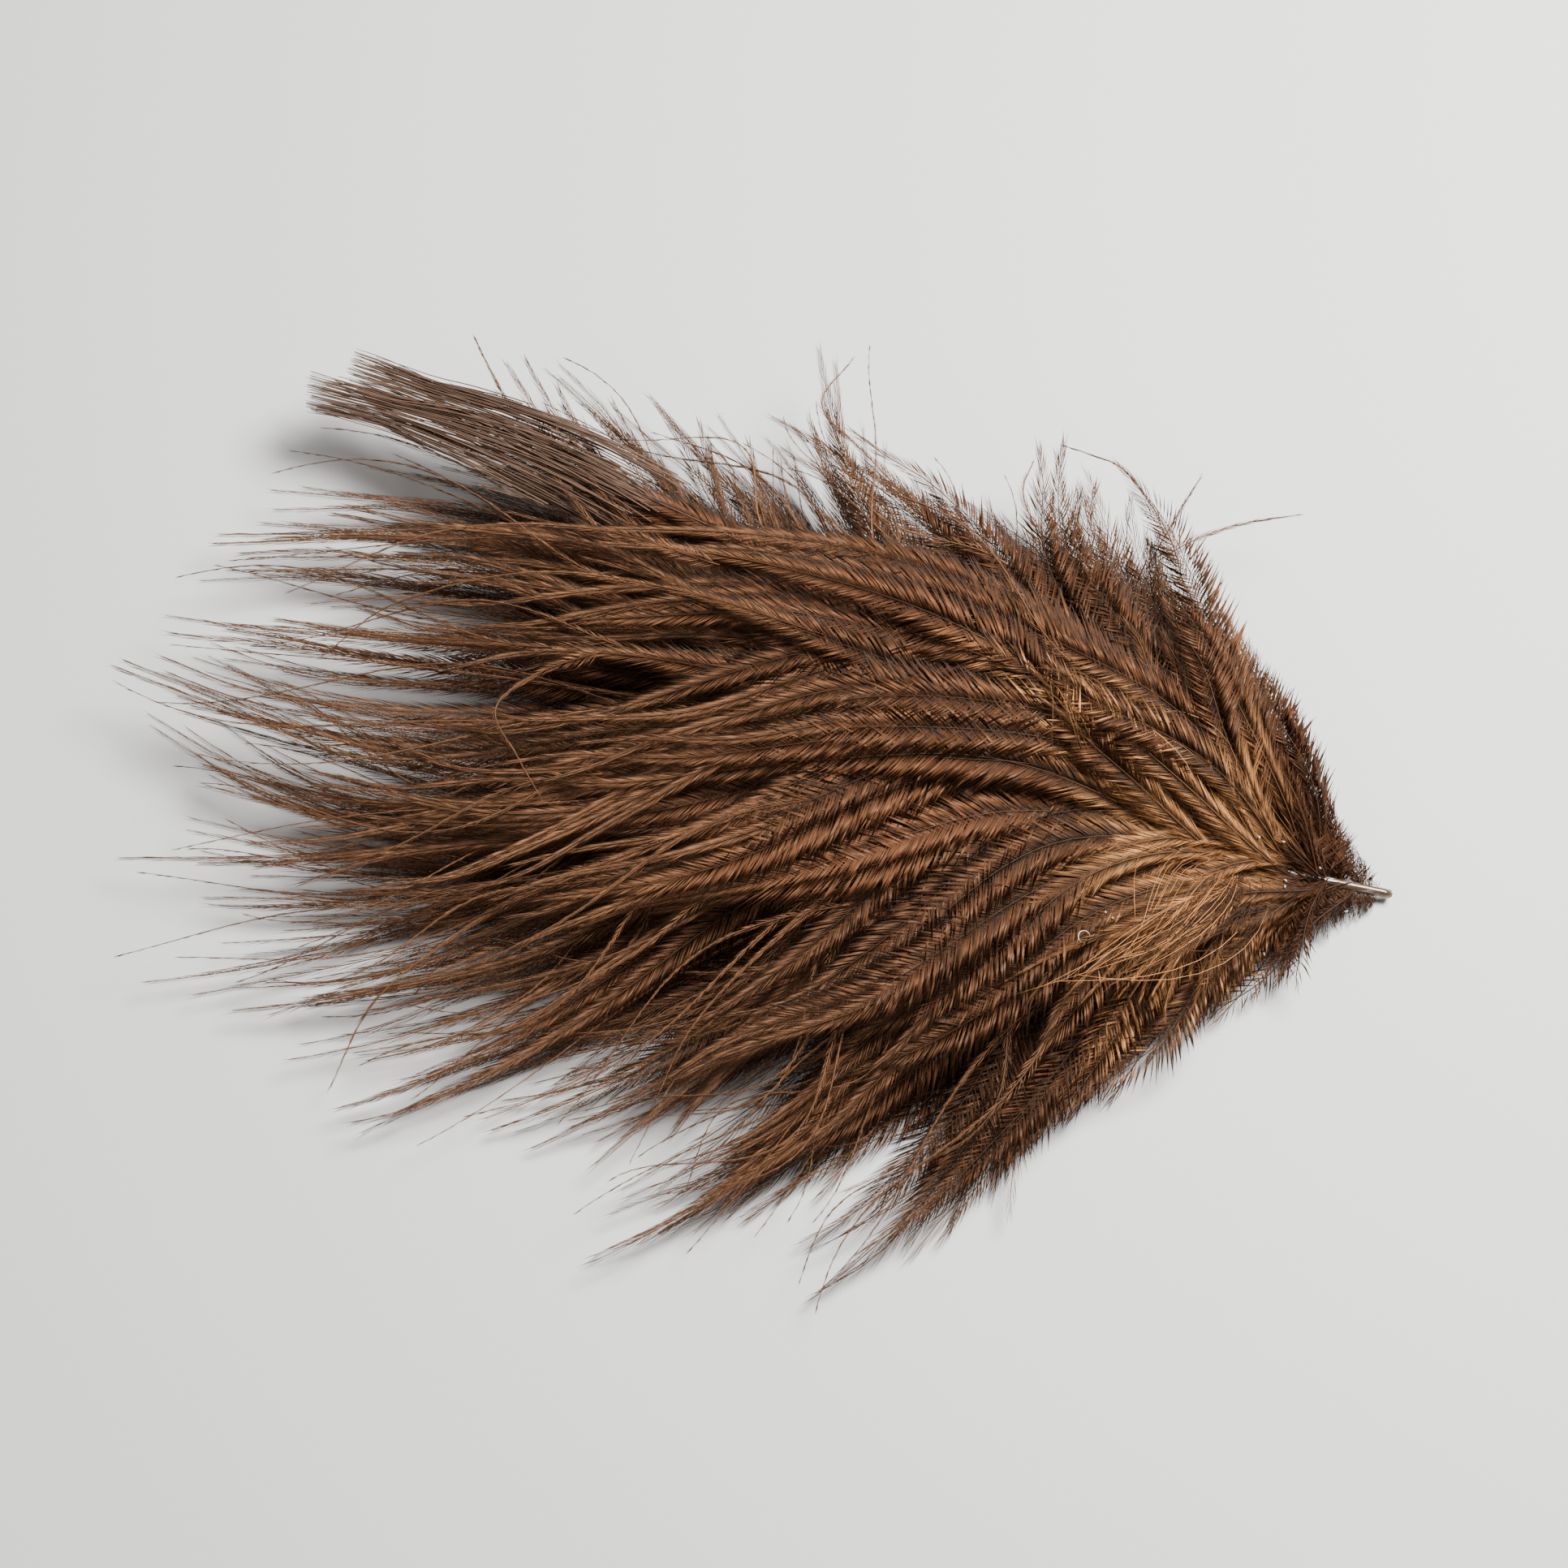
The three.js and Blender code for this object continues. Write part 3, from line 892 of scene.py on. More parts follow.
def build_tufts(name, rows, material, seed, hairs, radius):
    """Builds the outer ends of locks as flat ribbons of parallel hairs that end bluntly."""
    rng = np.random.default_rng(seed)
    strands = Strands(rng)
    part = np.linspace(0, 1, HAIR_STATIONS)
    for row in rows:
        lock = Lock(row)
        for _ in range(hairs):
            place = rng.uniform(-1, 1)
            start = rng.uniform(*TUFT_STARTS)
            share = start + (rng.uniform(*TUFT_ENDS) + TUFT_SLANT * place - start) * part
            line = lock.line(share)
            level, rising = across(tangents(line))
            width = lock.width(share)[:, None]
            wave = rng.uniform(*TUFT_WAVE) * MM * np.sin(FULL_TURN * part + rng.uniform(*PHASES))
            line = line + level * (place * width + wave[:, None])
            line = line + rising * rng.uniform(-TUFT_DEPTH, TUFT_DEPTH) * width
            strands.add_barb(Barb(line, rng.uniform(*TUFT_TONES), TUFT_CLOSING), radius)
            strands.next_barb()
    strands.make(name, material)


def shortened(row, share):
    """A lock's row with its tip moved back to a share of its length."""
    row = np.array(row)
    root = shaft_point(row[0]) / MM
    row[1:3] = root[:2] + (row[1:3] - root[:2]) * share
    return tuple(row)


def filling_locks():
    """Rows of the locks that lie between each two edge locks."""
    rows = []
    for one, other in zip(EDGE_LOCKS, EDGE_LOCKS[1:]):
        middle = (np.array(one) + np.array(other)) / 2
        middle[4] = FILL_HEIGHT
        rows.append(shortened(middle, FILL_REACH))
    return rows + GAP_LOCKS


# The golden patches, beside the quill and along the ridge behind it, partly the golden colour of
# the down there and partly a painted highlight where the light catches it: their middle, their
# angle about Z, and their half sizes
GOLDEN_HIGHLIGHT_PATCHES = (
    ((0.034, -0.015, 0.004), 0, (0.0105, 0.0105, 0.0105)),
    ((0.028, 0.004, 0.010), math.radians(151), (0.014, 0.0042, 0.012)),
)
# Each fades between these distances from its middle, which uneven patches shift, and shows
# on barbs whose tone lies in the upper range
GOLDEN_HIGHLIGHT_FADE = (0.7, 1.4)
GOLDEN_HIGHLIGHT_TONES = (0.5, 1.0)
GOLDEN_HIGHLIGHT_UNEVEN = 0.5
# The x between which the deep brown down by the quill comes in, and how far patches shift it
BY_QUILL = (0.0410, 0.0465)
BY_QUILL_UNEVEN = 0.006
# The reaches between which one brown of a barb gives way to the next
ROOT_TO_MIDDLE = (0.02, 0.19)
MIDDLE_TO_TIP = (0.52, 0.84)
# The dark shaft shows up to this share of the barbules beside it, and falls off by a power.
# The last two say how dark it is at most, and how much of that is gone at the tips
SHAFT_SHOWS = (0.0, 0.34)
SHAFT_FALL = 2.2
SHAFT_DARKNESS = 0.65
SHAFT_GONE = 0.8
# The scale and the detail of the noise of uneven patches and of fine fibres
PATCH_NOISE = (160, 3)
FIBRE_NOISE = (2600, 2)
# How much the tone, the patches and the fibres add to the lowest light and roughness
TONE_LIGHT = (0.9, 0.42)
PATCH_LIGHT = (0.55, 0.76)
FIBRE_ROUGHNESS = (0.22, 0.40)


def down_group():
    """Node group: the colour, roughness and height of down along its barbs."""
    if "Down Tones" in bpy.data.node_groups:
        return bpy.data.node_groups["Down Tones"]
    group = bpy.data.node_groups.new("Down Tones", "ShaderNodeTree")
    for label in ("Root", "Middle", "Tip", "Barb Shaft", "By Quill"):
        group.interface.new_socket(label, in_out="INPUT", socket_type="NodeSocketColor")
    for label, kind in (("Colour", "Color"), ("Roughness", "Float"), ("Height", "Float")):
        group.interface.new_socket(label, in_out="OUTPUT", socket_type="NodeSocket" + kind)
    net = Net(group)
    given = net.node("NodeGroupInput").outputs
    reach, fringe, tone = (net.attribute(name) for name in ("reach", "fringe", "tone"))
    place = net.node("ShaderNodeTexCoord").outputs["Object"]
    patches = net.noise(place, *PATCH_NOISE)
    fibres = net.noise(place, *FIBRE_NOISE)
    to_tip = net.ramp(reach, *MIDDLE_TO_TIP)
    colour = net.mix(net.ramp(reach, *ROOT_TO_MIDDLE), given["Root"], given["Middle"])
    colour = net.mix(to_tip, colour, given["Tip"])
    near_shaft = net.rest(net.ramp(fringe, *SHAFT_SHOWS))
    not_tip = net.rest(net.times(to_tip, SHAFT_GONE))
    dark = net.times(net.math("POWER", near_shaft, SHAFT_FALL), not_tip)
    colour = net.mix(net.times(dark, SHAFT_DARKNESS), colour, given["Barb Shaft"])
    # Painted highlight: the golden patches lighten the brighter barbs where the light catches the
    # down
    for patch in GOLDEN_HIGHLIGHT_PATCHES:
        uneven = net.math("ADD", net.apart(place, *patch), net.times(patches, GOLDEN_HIGHLIGHT_UNEVEN))
        golden = net.rest(net.ramp(uneven, *GOLDEN_HIGHLIGHT_FADE))
        golden = net.times(golden, net.ramp(tone, *GOLDEN_HIGHLIGHT_TONES))
        colour = net.mix(golden, colour, given["Root"])
    axes = net.node("ShaderNodeSeparateXYZ", {0: place})
    shifted = net.math("ADD", axes.outputs["X"], net.times(patches, BY_QUILL_UNEVEN))
    colour = net.mix(net.ramp(shifted, *BY_QUILL), colour, given["By Quill"])
    light = net.times(net.raised(tone, *TONE_LIGHT), net.raised(patches, *PATCH_LIGHT))
    net.node("NodeGroupOutput", {"Colour": net.scale(colour, light), "Height": fibres,
                                 "Roughness": net.raised(fibres, *FIBRE_ROUGHNESS)})
    return group


# Nodes are laid out in rows, from left to right
NODES_PER_ROW = 6
NODE_WIDTH, NODE_HEIGHT = 220, 260


class Net:
    """Short ways to place and link the nodes of one tree."""

    def __init__(self, tree):
        self.tree = tree
        self.placed = 0

    def node(self, kind, inputs=None, **settings):
        """Places a node with some settings, and feeds its inputs."""
        made = self.tree.nodes.new(kind)
        row, column = divmod(self.placed, NODES_PER_ROW)
        made.location = (column * NODE_WIDTH, -row * NODE_HEIGHT)
        self.placed += 1
        for name, value in settings.items():
            setattr(made, name, value)
        self.feed(made, inputs or {})
        return made

    def feed(self, node, inputs):
        """Links inputs of a node to sockets, or sets plain values on them."""
        for label, value in inputs.items():
            if isinstance(value, bpy.types.NodeSocket):
                self.tree.links.new(value, node.inputs[label])
            else:
                node.inputs[label].default_value = value

    def attribute(self, name):
        return self.node("ShaderNodeAttribute", attribute_name=name).outputs["Fac"]

    def noise(self, place, scale, detail):
        inputs = {"Vector": place, "Scale": scale, "Detail": detail}
        return self.node("ShaderNodeTexNoise", inputs).outputs["Fac"]

    def apart(self, place, middle, angle, sizes):
        """How far a place is from a patch's middle, one at the patch's half sizes."""
        inputs = {"Vector": place, "Location": middle, "Rotation": (0, 0, angle), "Scale": sizes}
        fitted = self.node("ShaderNodeMapping", inputs, vector_type="TEXTURE")
        inputs = {0: fitted.outputs["Vector"]}
        return self.node("ShaderNodeVectorMath", inputs, operation="LENGTH").outputs["Value"]

    def ramp(self, value, low, high):
        inputs = {"Value": value, "From Min": low, "From Max": high}
        made = self.node("ShaderNodeMapRange", inputs, interpolation_type="SMOOTHSTEP")
        return made.outputs["Result"]

    def math(self, work, first, second):
        return self.node("ShaderNodeMath", {0: first, 1: second}, operation=work).outputs[0]

    def times(self, first, second):
        return self.math("MULTIPLY", first, second)

    def rest(self, value):
        """What a value leaves of one."""
        return self.math("SUBTRACT", 1, value)

    def raised(self, value, rise, base):
        """A base value, and on it a share of a value that changes."""
        return self.math("ADD", self.times(value, rise), base)

    def mix(self, share, first, second):
        inputs = {"Factor": share, "A": first, "B": second}
        return self.node("ShaderNodeMix", inputs, data_type="RGBA").outputs["Result"]

    def scale(self, colour, light):
        inputs = {0: colour, "Scale": light}
        return self.node("ShaderNodeVectorMath", inputs, operation="SCALE").outputs[0]

    def bump(self, height, distance):
        """A surface's normal, bumped by a height."""
        inputs = {"Strength": BUMP_STRENGTH, "Distance": distance, "Height": height}
        return self.node("ShaderNodeBump", inputs).outputs["Normal"]


def new_material(name):
    """An empty node material with its Principled BSDF."""
    material = bpy.data.materials.new(name)
    material.use_nodes = True
    tree = material.node_tree
    return material, Net(tree), tree.nodes["Principled BSDF"]


DOWN_FINISH = {
    "Specular IOR Level": 0.32,
    "Specular Tint": (1, 0.72, 0.5, 1),
    "Sheen Weight": 0.05,
    "Sheen Roughness": 0.4,
    "Sheen Tint": (0.80, 0.66, 0.56, 1),
}
QUILL_FINISH = {"Coat Weight": 0.6, "Coat Roughness": 0.12}
BUMP_STRENGTH = 0.25
DOWN_BUMP = 0.02 * MM
QUILL_BUMP = 0.03 * MM


def down_material(name, root, middle, tip, shaft):
    """Soft brown down: dark barb shafts, paler barbules and tan tips."""
    material, net, surface = new_material(name)
    browns = {"Root": root, "Middle": middle, "Tip": tip, "Barb Shaft": shaft,
              "By Quill": bpy.context.scene.feather_colours.deep_brown_and_shade}
    tones = net.node("ShaderNodeGroup", node_tree=down_group())
    net.feed(tones, {label: (*brown, 1) for label, brown in browns.items()})
    net.feed(surface, {"Base Color": tones.outputs["Colour"],
                       "Roughness": tones.outputs["Roughness"],
                       "Normal": net.bump(tones.outputs["Height"], DOWN_BUMP), **DOWN_FINISH})
    return material


def blend(first, second, share):
    """A colour part of the way from the first to the second."""
    return tuple(a + (b - a) * share for a, b in zip(first, second))


def shaded_covered_material(name, shade_in_middle, shade_in_tip):
    """Down that others cover, with painted shade: a share of deep_brown_and_shade mixed into its
    middle and its tips, darker as if in the shade of the layers above.
    """
    browns = bpy.context.scene.feather_colours
    return down_material(name, browns.root, blend(browns.middle, browns.deep_brown_and_shade, shade_in_middle),
                         blend(browns.tip, browns.deep_brown_and_shade, shade_in_tip), browns.shaft)


def covered_fringe(sizes, spacing, angles):
    """The barbules of a layer that others cover."""
    return Fringe(spacing, sizes.barbule_length, sizes.under_width, COVERED_DENSITY, COVERED_WIDTH,
                  angles)


def build_halves(name, rows, fringe, material, level, seed, per_cm, packing=ALL_ROUND):
    """Builds locks as two pieces: those whose tips lie beyond a level, and the others."""
    far = [row for row in rows if row[2] > level]
    near = [row for row in rows if row[2] <= level]
    build_down(name + "_far", far, fringe, material, seed, per_cm, packing)
    build_down(name + "_near", near, fringe, material, seed + 1, per_cm, packing)


class FEATHER_OT_under_down(bpy.types.Operator):
    """Build the lowest layer of down, which lies on the surface"""

    bl_idname = "feather.under_down"
    bl_label = "Under Down"

    def execute(self, context):
        sizes = context.scene.feather_sizes
        # The lowest layer is painted darker, as shade under the layers above
        material = shaded_covered_material("under_down", shade_in_middle=0.8, shade_in_tip=0.2)
        fringe = covered_fringe(sizes, sizes.under_spacing, COVERED_ANGLE)
        rows = [row for row in EDGE_LOCKS if row[4] <= BED_HEIGHT]
        build_halves("under_down", rows, fringe, material, level=0, seed=11, per_cm=8)
        rows = filling_locks()
        build_halves("filling_down", rows, fringe, material, level=0, seed=13, per_cm=6)
        return {"FINISHED"}


# The pale grey that tinges the blunt tufts, and how much of it they have
TUFT_GREY = (0.5, 0.42, 0.36)
TUFT_GREYNESS = 0.28
# The barbs under a tuft's hairs end at this share of its length
TUFT_BED = 0.8


class FEATHER_OT_middle_down(bpy.types.Operator):
    """Build the middle layer of down, with its two blunt tufts"""

    bl_idname = "feather.middle_down"
    bl_label = "Middle Down"

    def execute(self, context):
        browns = context.scene.feather_colours
        sizes = context.scene.feather_sizes
        # The middle layer is painted a little darker, as shade under the upper layer
        material = shaded_covered_material("middle_down", shade_in_middle=0.4, shade_in_tip=0.05)
        fringe = covered_fringe(sizes, sizes.middle_spacing, OPEN_ANGLE)
        rows = [row for row in EDGE_LOCKS if row[4] > BED_HEIGHT]
        build_halves("middle_down", rows, fringe, material, level=8, seed=21, per_cm=8)
        grey = blend(browns.tip, TUFT_GREY, TUFT_GREYNESS)
        material = down_material("blunt_down", browns.middle, browns.middle, grey,
                                 blend(grey, browns.shaft, share=0.3))
        fringe = Fringe(spacing=sizes.middle_spacing * 0.6, length=sizes.barbule_length,
                        width=sizes.under_width * 0.8, density=COVERED_DENSITY,
                        spread=0.7)
        bed = [shortened(row, TUFT_BED) for row in BLUNT_LOCKS]
        build_down("blunt_down", bed, fringe, material, seed=23, per_cm=9, loose=0.4)
        build_tufts("blunt_tufts", BLUNT_LOCKS, material, seed=24, hairs=115,
                    radius=sizes.barb_radius * 0.75)
        return {"FINISHED"}


class FEATHER_OT_upper_down(bpy.types.Operator):
    """Build the upper layer of down"""

    bl_idname = "feather.upper_down"
    bl_label = "Upper Down"

    def execute(self, context):
        browns = context.scene.feather_colours
        sizes = context.scene.feather_sizes
        material = down_material("upper_down", browns.root, browns.middle, browns.tip,
                                 browns.shaft)
        fringe = Fringe(sizes.upper_spacing, sizes.barbule_length, sizes.upper_width)
        build_halves("upper_down", UPPER_LOCKS, fringe, material, level=4, seed=31, per_cm=8.5,
                     packing=ON_TOP)
        return {"FINISHED"}


class FEATHER_OT_mantle(bpy.types.Operator):
    """Build the combed golden strands that spread from the quill over the base"""

    bl_idname = "feather.mantle"
    bl_label = "Mantle"

    def execute(self, context):
        browns = context.scene.feather_colours
        sizes = context.scene.feather_sizes
        middle = blend(browns.root, browns.middle, share=0.7)
        material = down_material("mantle", browns.root, middle, middle, middle)
        fringe = Fringe(spacing=0.26 * MM, length=3.6 * MM, width=sizes.upper_width, spread=0.4)
        build_rows("mantle", MANTLE_ROWS, fringe, material, seed=61, count=24, closing=1.5,
                   radius=sizes.barb_radius * 0.7)
        material = down_material("mantle_hairs", browns.root, browns.middle, browns.root,
                                 browns.middle)
        build_hairs("mantle_hairs", MANTLE_ROWS, material, seed=65, clumps=18, hairs=7,
                    radius=sizes.barb_radius * 0.5)
        return {"FINISHED"}


class FEATHER_OT_veil(bpy.types.Operator):
    """Build the thin soft barbs and locks that fill the far edge, and its combed crest"""

    bl_idname = "feather.veil"
    bl_label = "Veil"

    def execute(self, context):
        browns = context.scene.feather_colours
        sizes = context.scene.feather_sizes
        middle = blend(browns.middle, browns.tip, share=0.4)
        material = down_material("veil", browns.middle, middle, middle, middle)
        fringe = Fringe(spacing=0.24 * MM, length=3.4 * MM, width=sizes.upper_width * 0.85)
        build_rows("veil", (VEIL_ROW,), fringe, material, seed=91, count=46, closing=2.2,
                   radius=sizes.barb_radius * 0.7)
        fringe = fringe._replace(length=sizes.barbule_length)
        build_down("veil_locks", SOFT_LOCKS, fringe, material, seed=92, per_cm=9, loose=0.7)
        material = down_material("crest", browns.middle, browns.middle, browns.tip,
                                 browns.middle)
        fringe = Fringe(spacing=sizes.middle_spacing * 1.2, length=sizes.barbule_length,
                        width=sizes.upper_width)
        build_down("crest", CREST_LOCKS, fringe, material, seed=95, per_cm=6.5, loose=0.6)
        return {"FINISHED"}


class FEATHER_OT_wisps(bpy.types.Operator):
    """Build the short wisps on both sides of the quill"""

    bl_idname = "feather.wisps"
    bl_label = "Wisps"

    def execute(self, context):
        browns = context.scene.feather_colours
        sizes = context.scene.feather_sizes
        material = down_material("wisps", browns.deep_brown_and_shade, browns.deep_brown_and_shade,
                                 blend(browns.deep_brown_and_shade, browns.root, share=0.3), browns.deep_brown_and_shade)
        fringe = Fringe(spacing=0.19 * MM, length=2.6 * MM, width=sizes.upper_width * 0.85)
        build_rows("wisps", WISP_ROWS, fringe, material, seed=41, count=50, closing=0.8,
                   radius=sizes.barb_radius * 0.6)
        return {"FINISHED"}


# Threads follow the edge locks whose tips lie on this side of an x, some for each lock
THREAD_SIDE = 12
THREADS_PER_LOCK = 3
# Where along its lock a thread starts and ends, as shares of its length
THREAD_STARTS = (0.25, 0.55)
THREAD_ENDS = (0.85, 1.03)
# How far it sways, leans aside at its end and lies over its lock at its start, in
# millimetres, and how many waves it sways in
THREAD_SWAY = (1.0, 3.2)
THREAD_LEAN = 2.5
THREAD_RISE = (1.5, 4.0)
THREAD_BEATS = (0.6, 1.3)
# It lies over its lock's middle line by at least this share of the lock's half width, and
# has one of these tones and this factor on a barb's thickness
THREAD_LIFT = 0.4
THREAD_TONES = (0.3, 1)
THREAD_THICKNESS = 1.05
# A bare barb's barbules have this share of the full length, and close round it early
BARE_LENGTH = 0.55
BARE_CLOSING = (0.25, 0.4)


class FEATHER_OT_threads(bpy.types.Operator):
    """Build the fine bare barbs that cross over the others and end as single threads"""

    bl_idname = "feather.threads"
    bl_label = "Threads"

    def execute(self, context):
        tan = context.scene.feather_colours.tip
        sizes = context.scene.feather_sizes
        material = down_material("threads", tan, tan, tan, tan)
        rng = np.random.default_rng(seed=71)
        strands = Strands(rng)
        fringe = Fringe(spacing=0.5 * MM, length=sizes.barbule_length * BARE_LENGTH,
                        width=sizes.upper_width, spread=0.5)
        part = np.linspace(0, 1, BARB_STATIONS)
        for row in [row for row in EDGE_LOCKS if row[1] < THREAD_SIDE] * THREADS_PER_LOCK:
            lock = Lock(row)
            start = rng.uniform(*THREAD_STARTS)
            line = lock.line(start + (rng.uniform(*THREAD_ENDS) - start) * part)
            level, _ = across(tangents(line))
            beats = rng.uniform(*THREAD_BEATS)
            sway = rng.uniform(*THREAD_SWAY) * MM * np.sin(
                FULL_TURN * beats * part + rng.uniform(*PHASES))
            lean = rng.normal(0, THREAD_LEAN) * MM * part**2
            line = line + level * (sway + lean)[:, None]
            rise = rng.uniform(*THREAD_RISE) * MM * (1 - part)
            line[:, 2] += lock.half_width * THREAD_LIFT + rise
            barb = Barb(line, rng.uniform(*THREAD_TONES), rng.uniform(*BARE_CLOSING))
            strands.add_feathered(barb, sizes.barb_radius * THREAD_THICKNESS, fringe)
        strands.make("threads", material)
        return {"FINISHED"}


# A flake is a bent strip of sheath, which tapers to both ends. A long one curls up to most
# of a ring, and the others are thicker. Bends and tapers are in radians
CURL_LENGTH = 0.8
CURL_BEND, CHIP_BEND = 4.6, 1.2
CURL_ACROSS, CHIP_ACROSS = 2, 1.6
CHIP_THICKNESS = (1.2, 1.9)
FLAKE_TILT = 0.4
FLAKE_TAPER = 0.3
FLAKE_STATIONS = 14
FLAKE_SIDES = 6
# The scale and the detail of its patches, and how much they add to its lowest roughness
FLAKE_NOISE = (4000, 3)
FLAKE_ROUGHNESS = (0.3, 0.3)


class FEATHER_OT_flakes(bpy.types.Operator):
    """Build the pale flakes of the sheath that lie in the down"""

    bl_idname = "feather.flakes"
    bl_label = "Flakes"

    def execute(self, context):
        browns = context.scene.feather_colours
        material, net, surface = new_material("flakes")
        place = net.node("ShaderNodeTexCoord").outputs["Object"]
        patches = net.noise(place, *FLAKE_NOISE)
        colour = net.mix(patches, (*browns.root, 1), (*browns.sheath, 1))
        net.feed(surface, {"Base Color": colour,
                           "Roughness": net.raised(patches, *FLAKE_ROUGHNESS)})
        rng = np.random.default_rng(seed=81)
        strands = Strands(rng)
        down = down_points()
        part = np.linspace(0, 1, FLAKE_STATIONS)
        taper = np.sin(np.linspace(FLAKE_TAPER, np.pi - FLAKE_TAPER, FLAKE_STATIONS))
        for x, seen, size in FLAKES:
            centre = resting_place(down, x * MM, seen * MM)
            curled = size > CURL_LENGTH
            bend = np.linspace(0, CURL_BEND if curled else CHIP_BEND, FLAKE_STATIONS)
            bend += rng.uniform(0, FULL_TURN)
            radius = size * MM / (CURL_ACROSS if curled else CHIP_ACROSS)
            tilt = rng.uniform(-FLAKE_TILT, FLAKE_TILT)
            line = centre + radius * np.stack(
                [np.cos(bend), np.sin(bend), tilt * np.sin(bend)], axis=1)
            if not curled:
                line -= line.mean(axis=0) - centre
            thick = FLAKE_THICKNESS * taper * (1 if curled else rng.uniform(*CHIP_THICKNESS))
            ring = rings(line, tangents(line), thick, FLAKE_SIDES)
            strands.add_tube(ring, part, part, tone=0.5, strip=0.9)
            strands.next_barb()
        strands.make("flakes", material)
        return {"FINISHED"}


# A flake rests on the down that is this near to it on either side, above this percentage
# of its points, or at a low height where there is none. That is found in some steps,
# because its height also moves the place where the camera sees it
FLAKE_REACH = 0.5 * MM
FLAKE_PERCENTILE = 98
BARE_HEIGHT = 0.2 * MM
RESTING_STEPS = 6


def down_points():
    """Every point of the pieces of down that are built so far."""
    clouds = []
    for piece in bpy.context.scene.objects:
        if piece.type == "MESH" and "down" in piece.name or piece.name in ("mantle", "wisps"):
            points = np.empty(len(piece.data.vertices) * 3, np.float32)
            piece.data.vertices.foreach_get("co", points)
            clouds.append(points.reshape(-1, 3))
    return np.vstack(clouds)


def resting_place(down, x, seen):
    """The point on the down that the camera sees at x and at a height in its picture."""
    z = 0
    for _ in range(RESTING_STEPS):
        y = seen - SEEN_SLANT * z
        close = ((np.abs(down[:, 0] - x) < FLAKE_REACH)
                 & (np.abs(down[:, 1] - y) < FLAKE_REACH))
        z = float(np.percentile(down[close, 2], FLAKE_PERCENTILE)) if close.any() else BARE_HEIGHT
    return np.array([x, seen - SEEN_SLANT * z, z + FLAKE_THICKNESS * 0.5])


STRAY_STATIONS = 30
STRAY_SIDES = 4
STRAY_TONES = (0.4, 1)


class FEATHER_OT_strays(bpy.types.Operator):
    """Build the single barbs that stray from the others"""

    bl_idname = "feather.strays"
    bl_label = "Strays"

    def execute(self, context):
        browns = context.scene.feather_colours
        sizes = context.scene.feather_sizes
        material = down_material("strays", browns.middle, browns.tip, browns.tip, browns.deep_brown_and_shade)
        rng = np.random.default_rng(seed=51)
        strands = Strands(rng)
        fringe = Fringe(spacing=0.3 * MM, length=sizes.barbule_length * BARE_LENGTH,
                        width=sizes.under_width * 0.7, spread=0.7)
        for points in STRAY_BARBS:
            line = smooth_line(points, STRAY_STATIONS)
            barb = Barb(line, rng.uniform(*STRAY_TONES), rng.uniform(*BARE_CLOSING))
            strands.add_feathered(barb, sizes.barb_radius, fringe, STRAY_SIDES)
        strands.make("strays", material)
        return {"FINISHED"}


SHAFT_STATIONS = 90
SHAFT_SIDES = 20
# The shaft's direction is taken from the points this share before and behind
NEARBY = 0.01
# The hollow cut end, from its rim inward: how deep, as shares of the shaft's length, and
# how wide, as shares of the quill's radius
HOLLOW = ((0, 0.9), (0, 0.74), (0.012, 0.7), (0.03, 0.66))
# How far its rim is chipped at random, and how far it waves twice round, in millimetres
CHIPPING = 0.04
RIM_WAVE = 0.08


class FEATHER_OT_shaft(bpy.types.Operator):
    """Build the quill with its hollow cut end, and the shaft that it runs into"""

    bl_idname = "feather.shaft"
    bl_label = "Shaft"

    def execute(self, context):
        radius = context.scene.feather_sizes.quill_radius
        outside = np.linspace(1, 0, SHAFT_STATIONS)
        depth, width = np.transpose(HOLLOW)
        share = np.concatenate([outside, depth])
        ahead = shaft_point(share + NEARBY)
        direction = unit(ahead - shaft_point(np.maximum(share - NEARBY, 0)))
        thickness = np.interp(outside, ALONG, SHAFT_THICKNESS)
        ring = rings(shaft_point(share), direction, radius * np.concatenate([thickness, width]),
                     SHAFT_SIDES)
        rng = np.random.default_rng(seed=3)
        about = np.arange(SHAFT_SIDES) / SHAFT_SIDES * FULL_TURN
        ragged = rng.normal(0, CHIPPING, SHAFT_SIDES) + RIM_WAVE * np.sin(2 * about)
        rim = slice(SHAFT_STATIONS - 1, SHAFT_STATIONS + 2)
        ring[rim] += direction[rim, None] * (ragged * MM)[None, :, None]
        strands = Strands(rng)
        strands.add_tube(ring, np.linspace(0, 1, len(share)), share, tone=0.5, strip=0.98)
        strands.next_barb()
        strands.make("shaft", quill_material())
        return {"FINISHED"}


# The pale streaks on the quill, partly sheath and partly a painted highlight along its length:
# stretched along it, and pale where both noises are high
SHEATH_AND_HIGHLIGHT_STRETCH = (0.12, 1, 1)
STREAK_NOISE, SHEATH_AND_HIGHLIGHT_FADE = (3200, 3), (0.48, 0.66)
BLOTCH_NOISE, BLOTCH_FADE = (500, 3), (0.35, 0.6)
QUILL_ROUGHNESS = (0.3, 0.16)


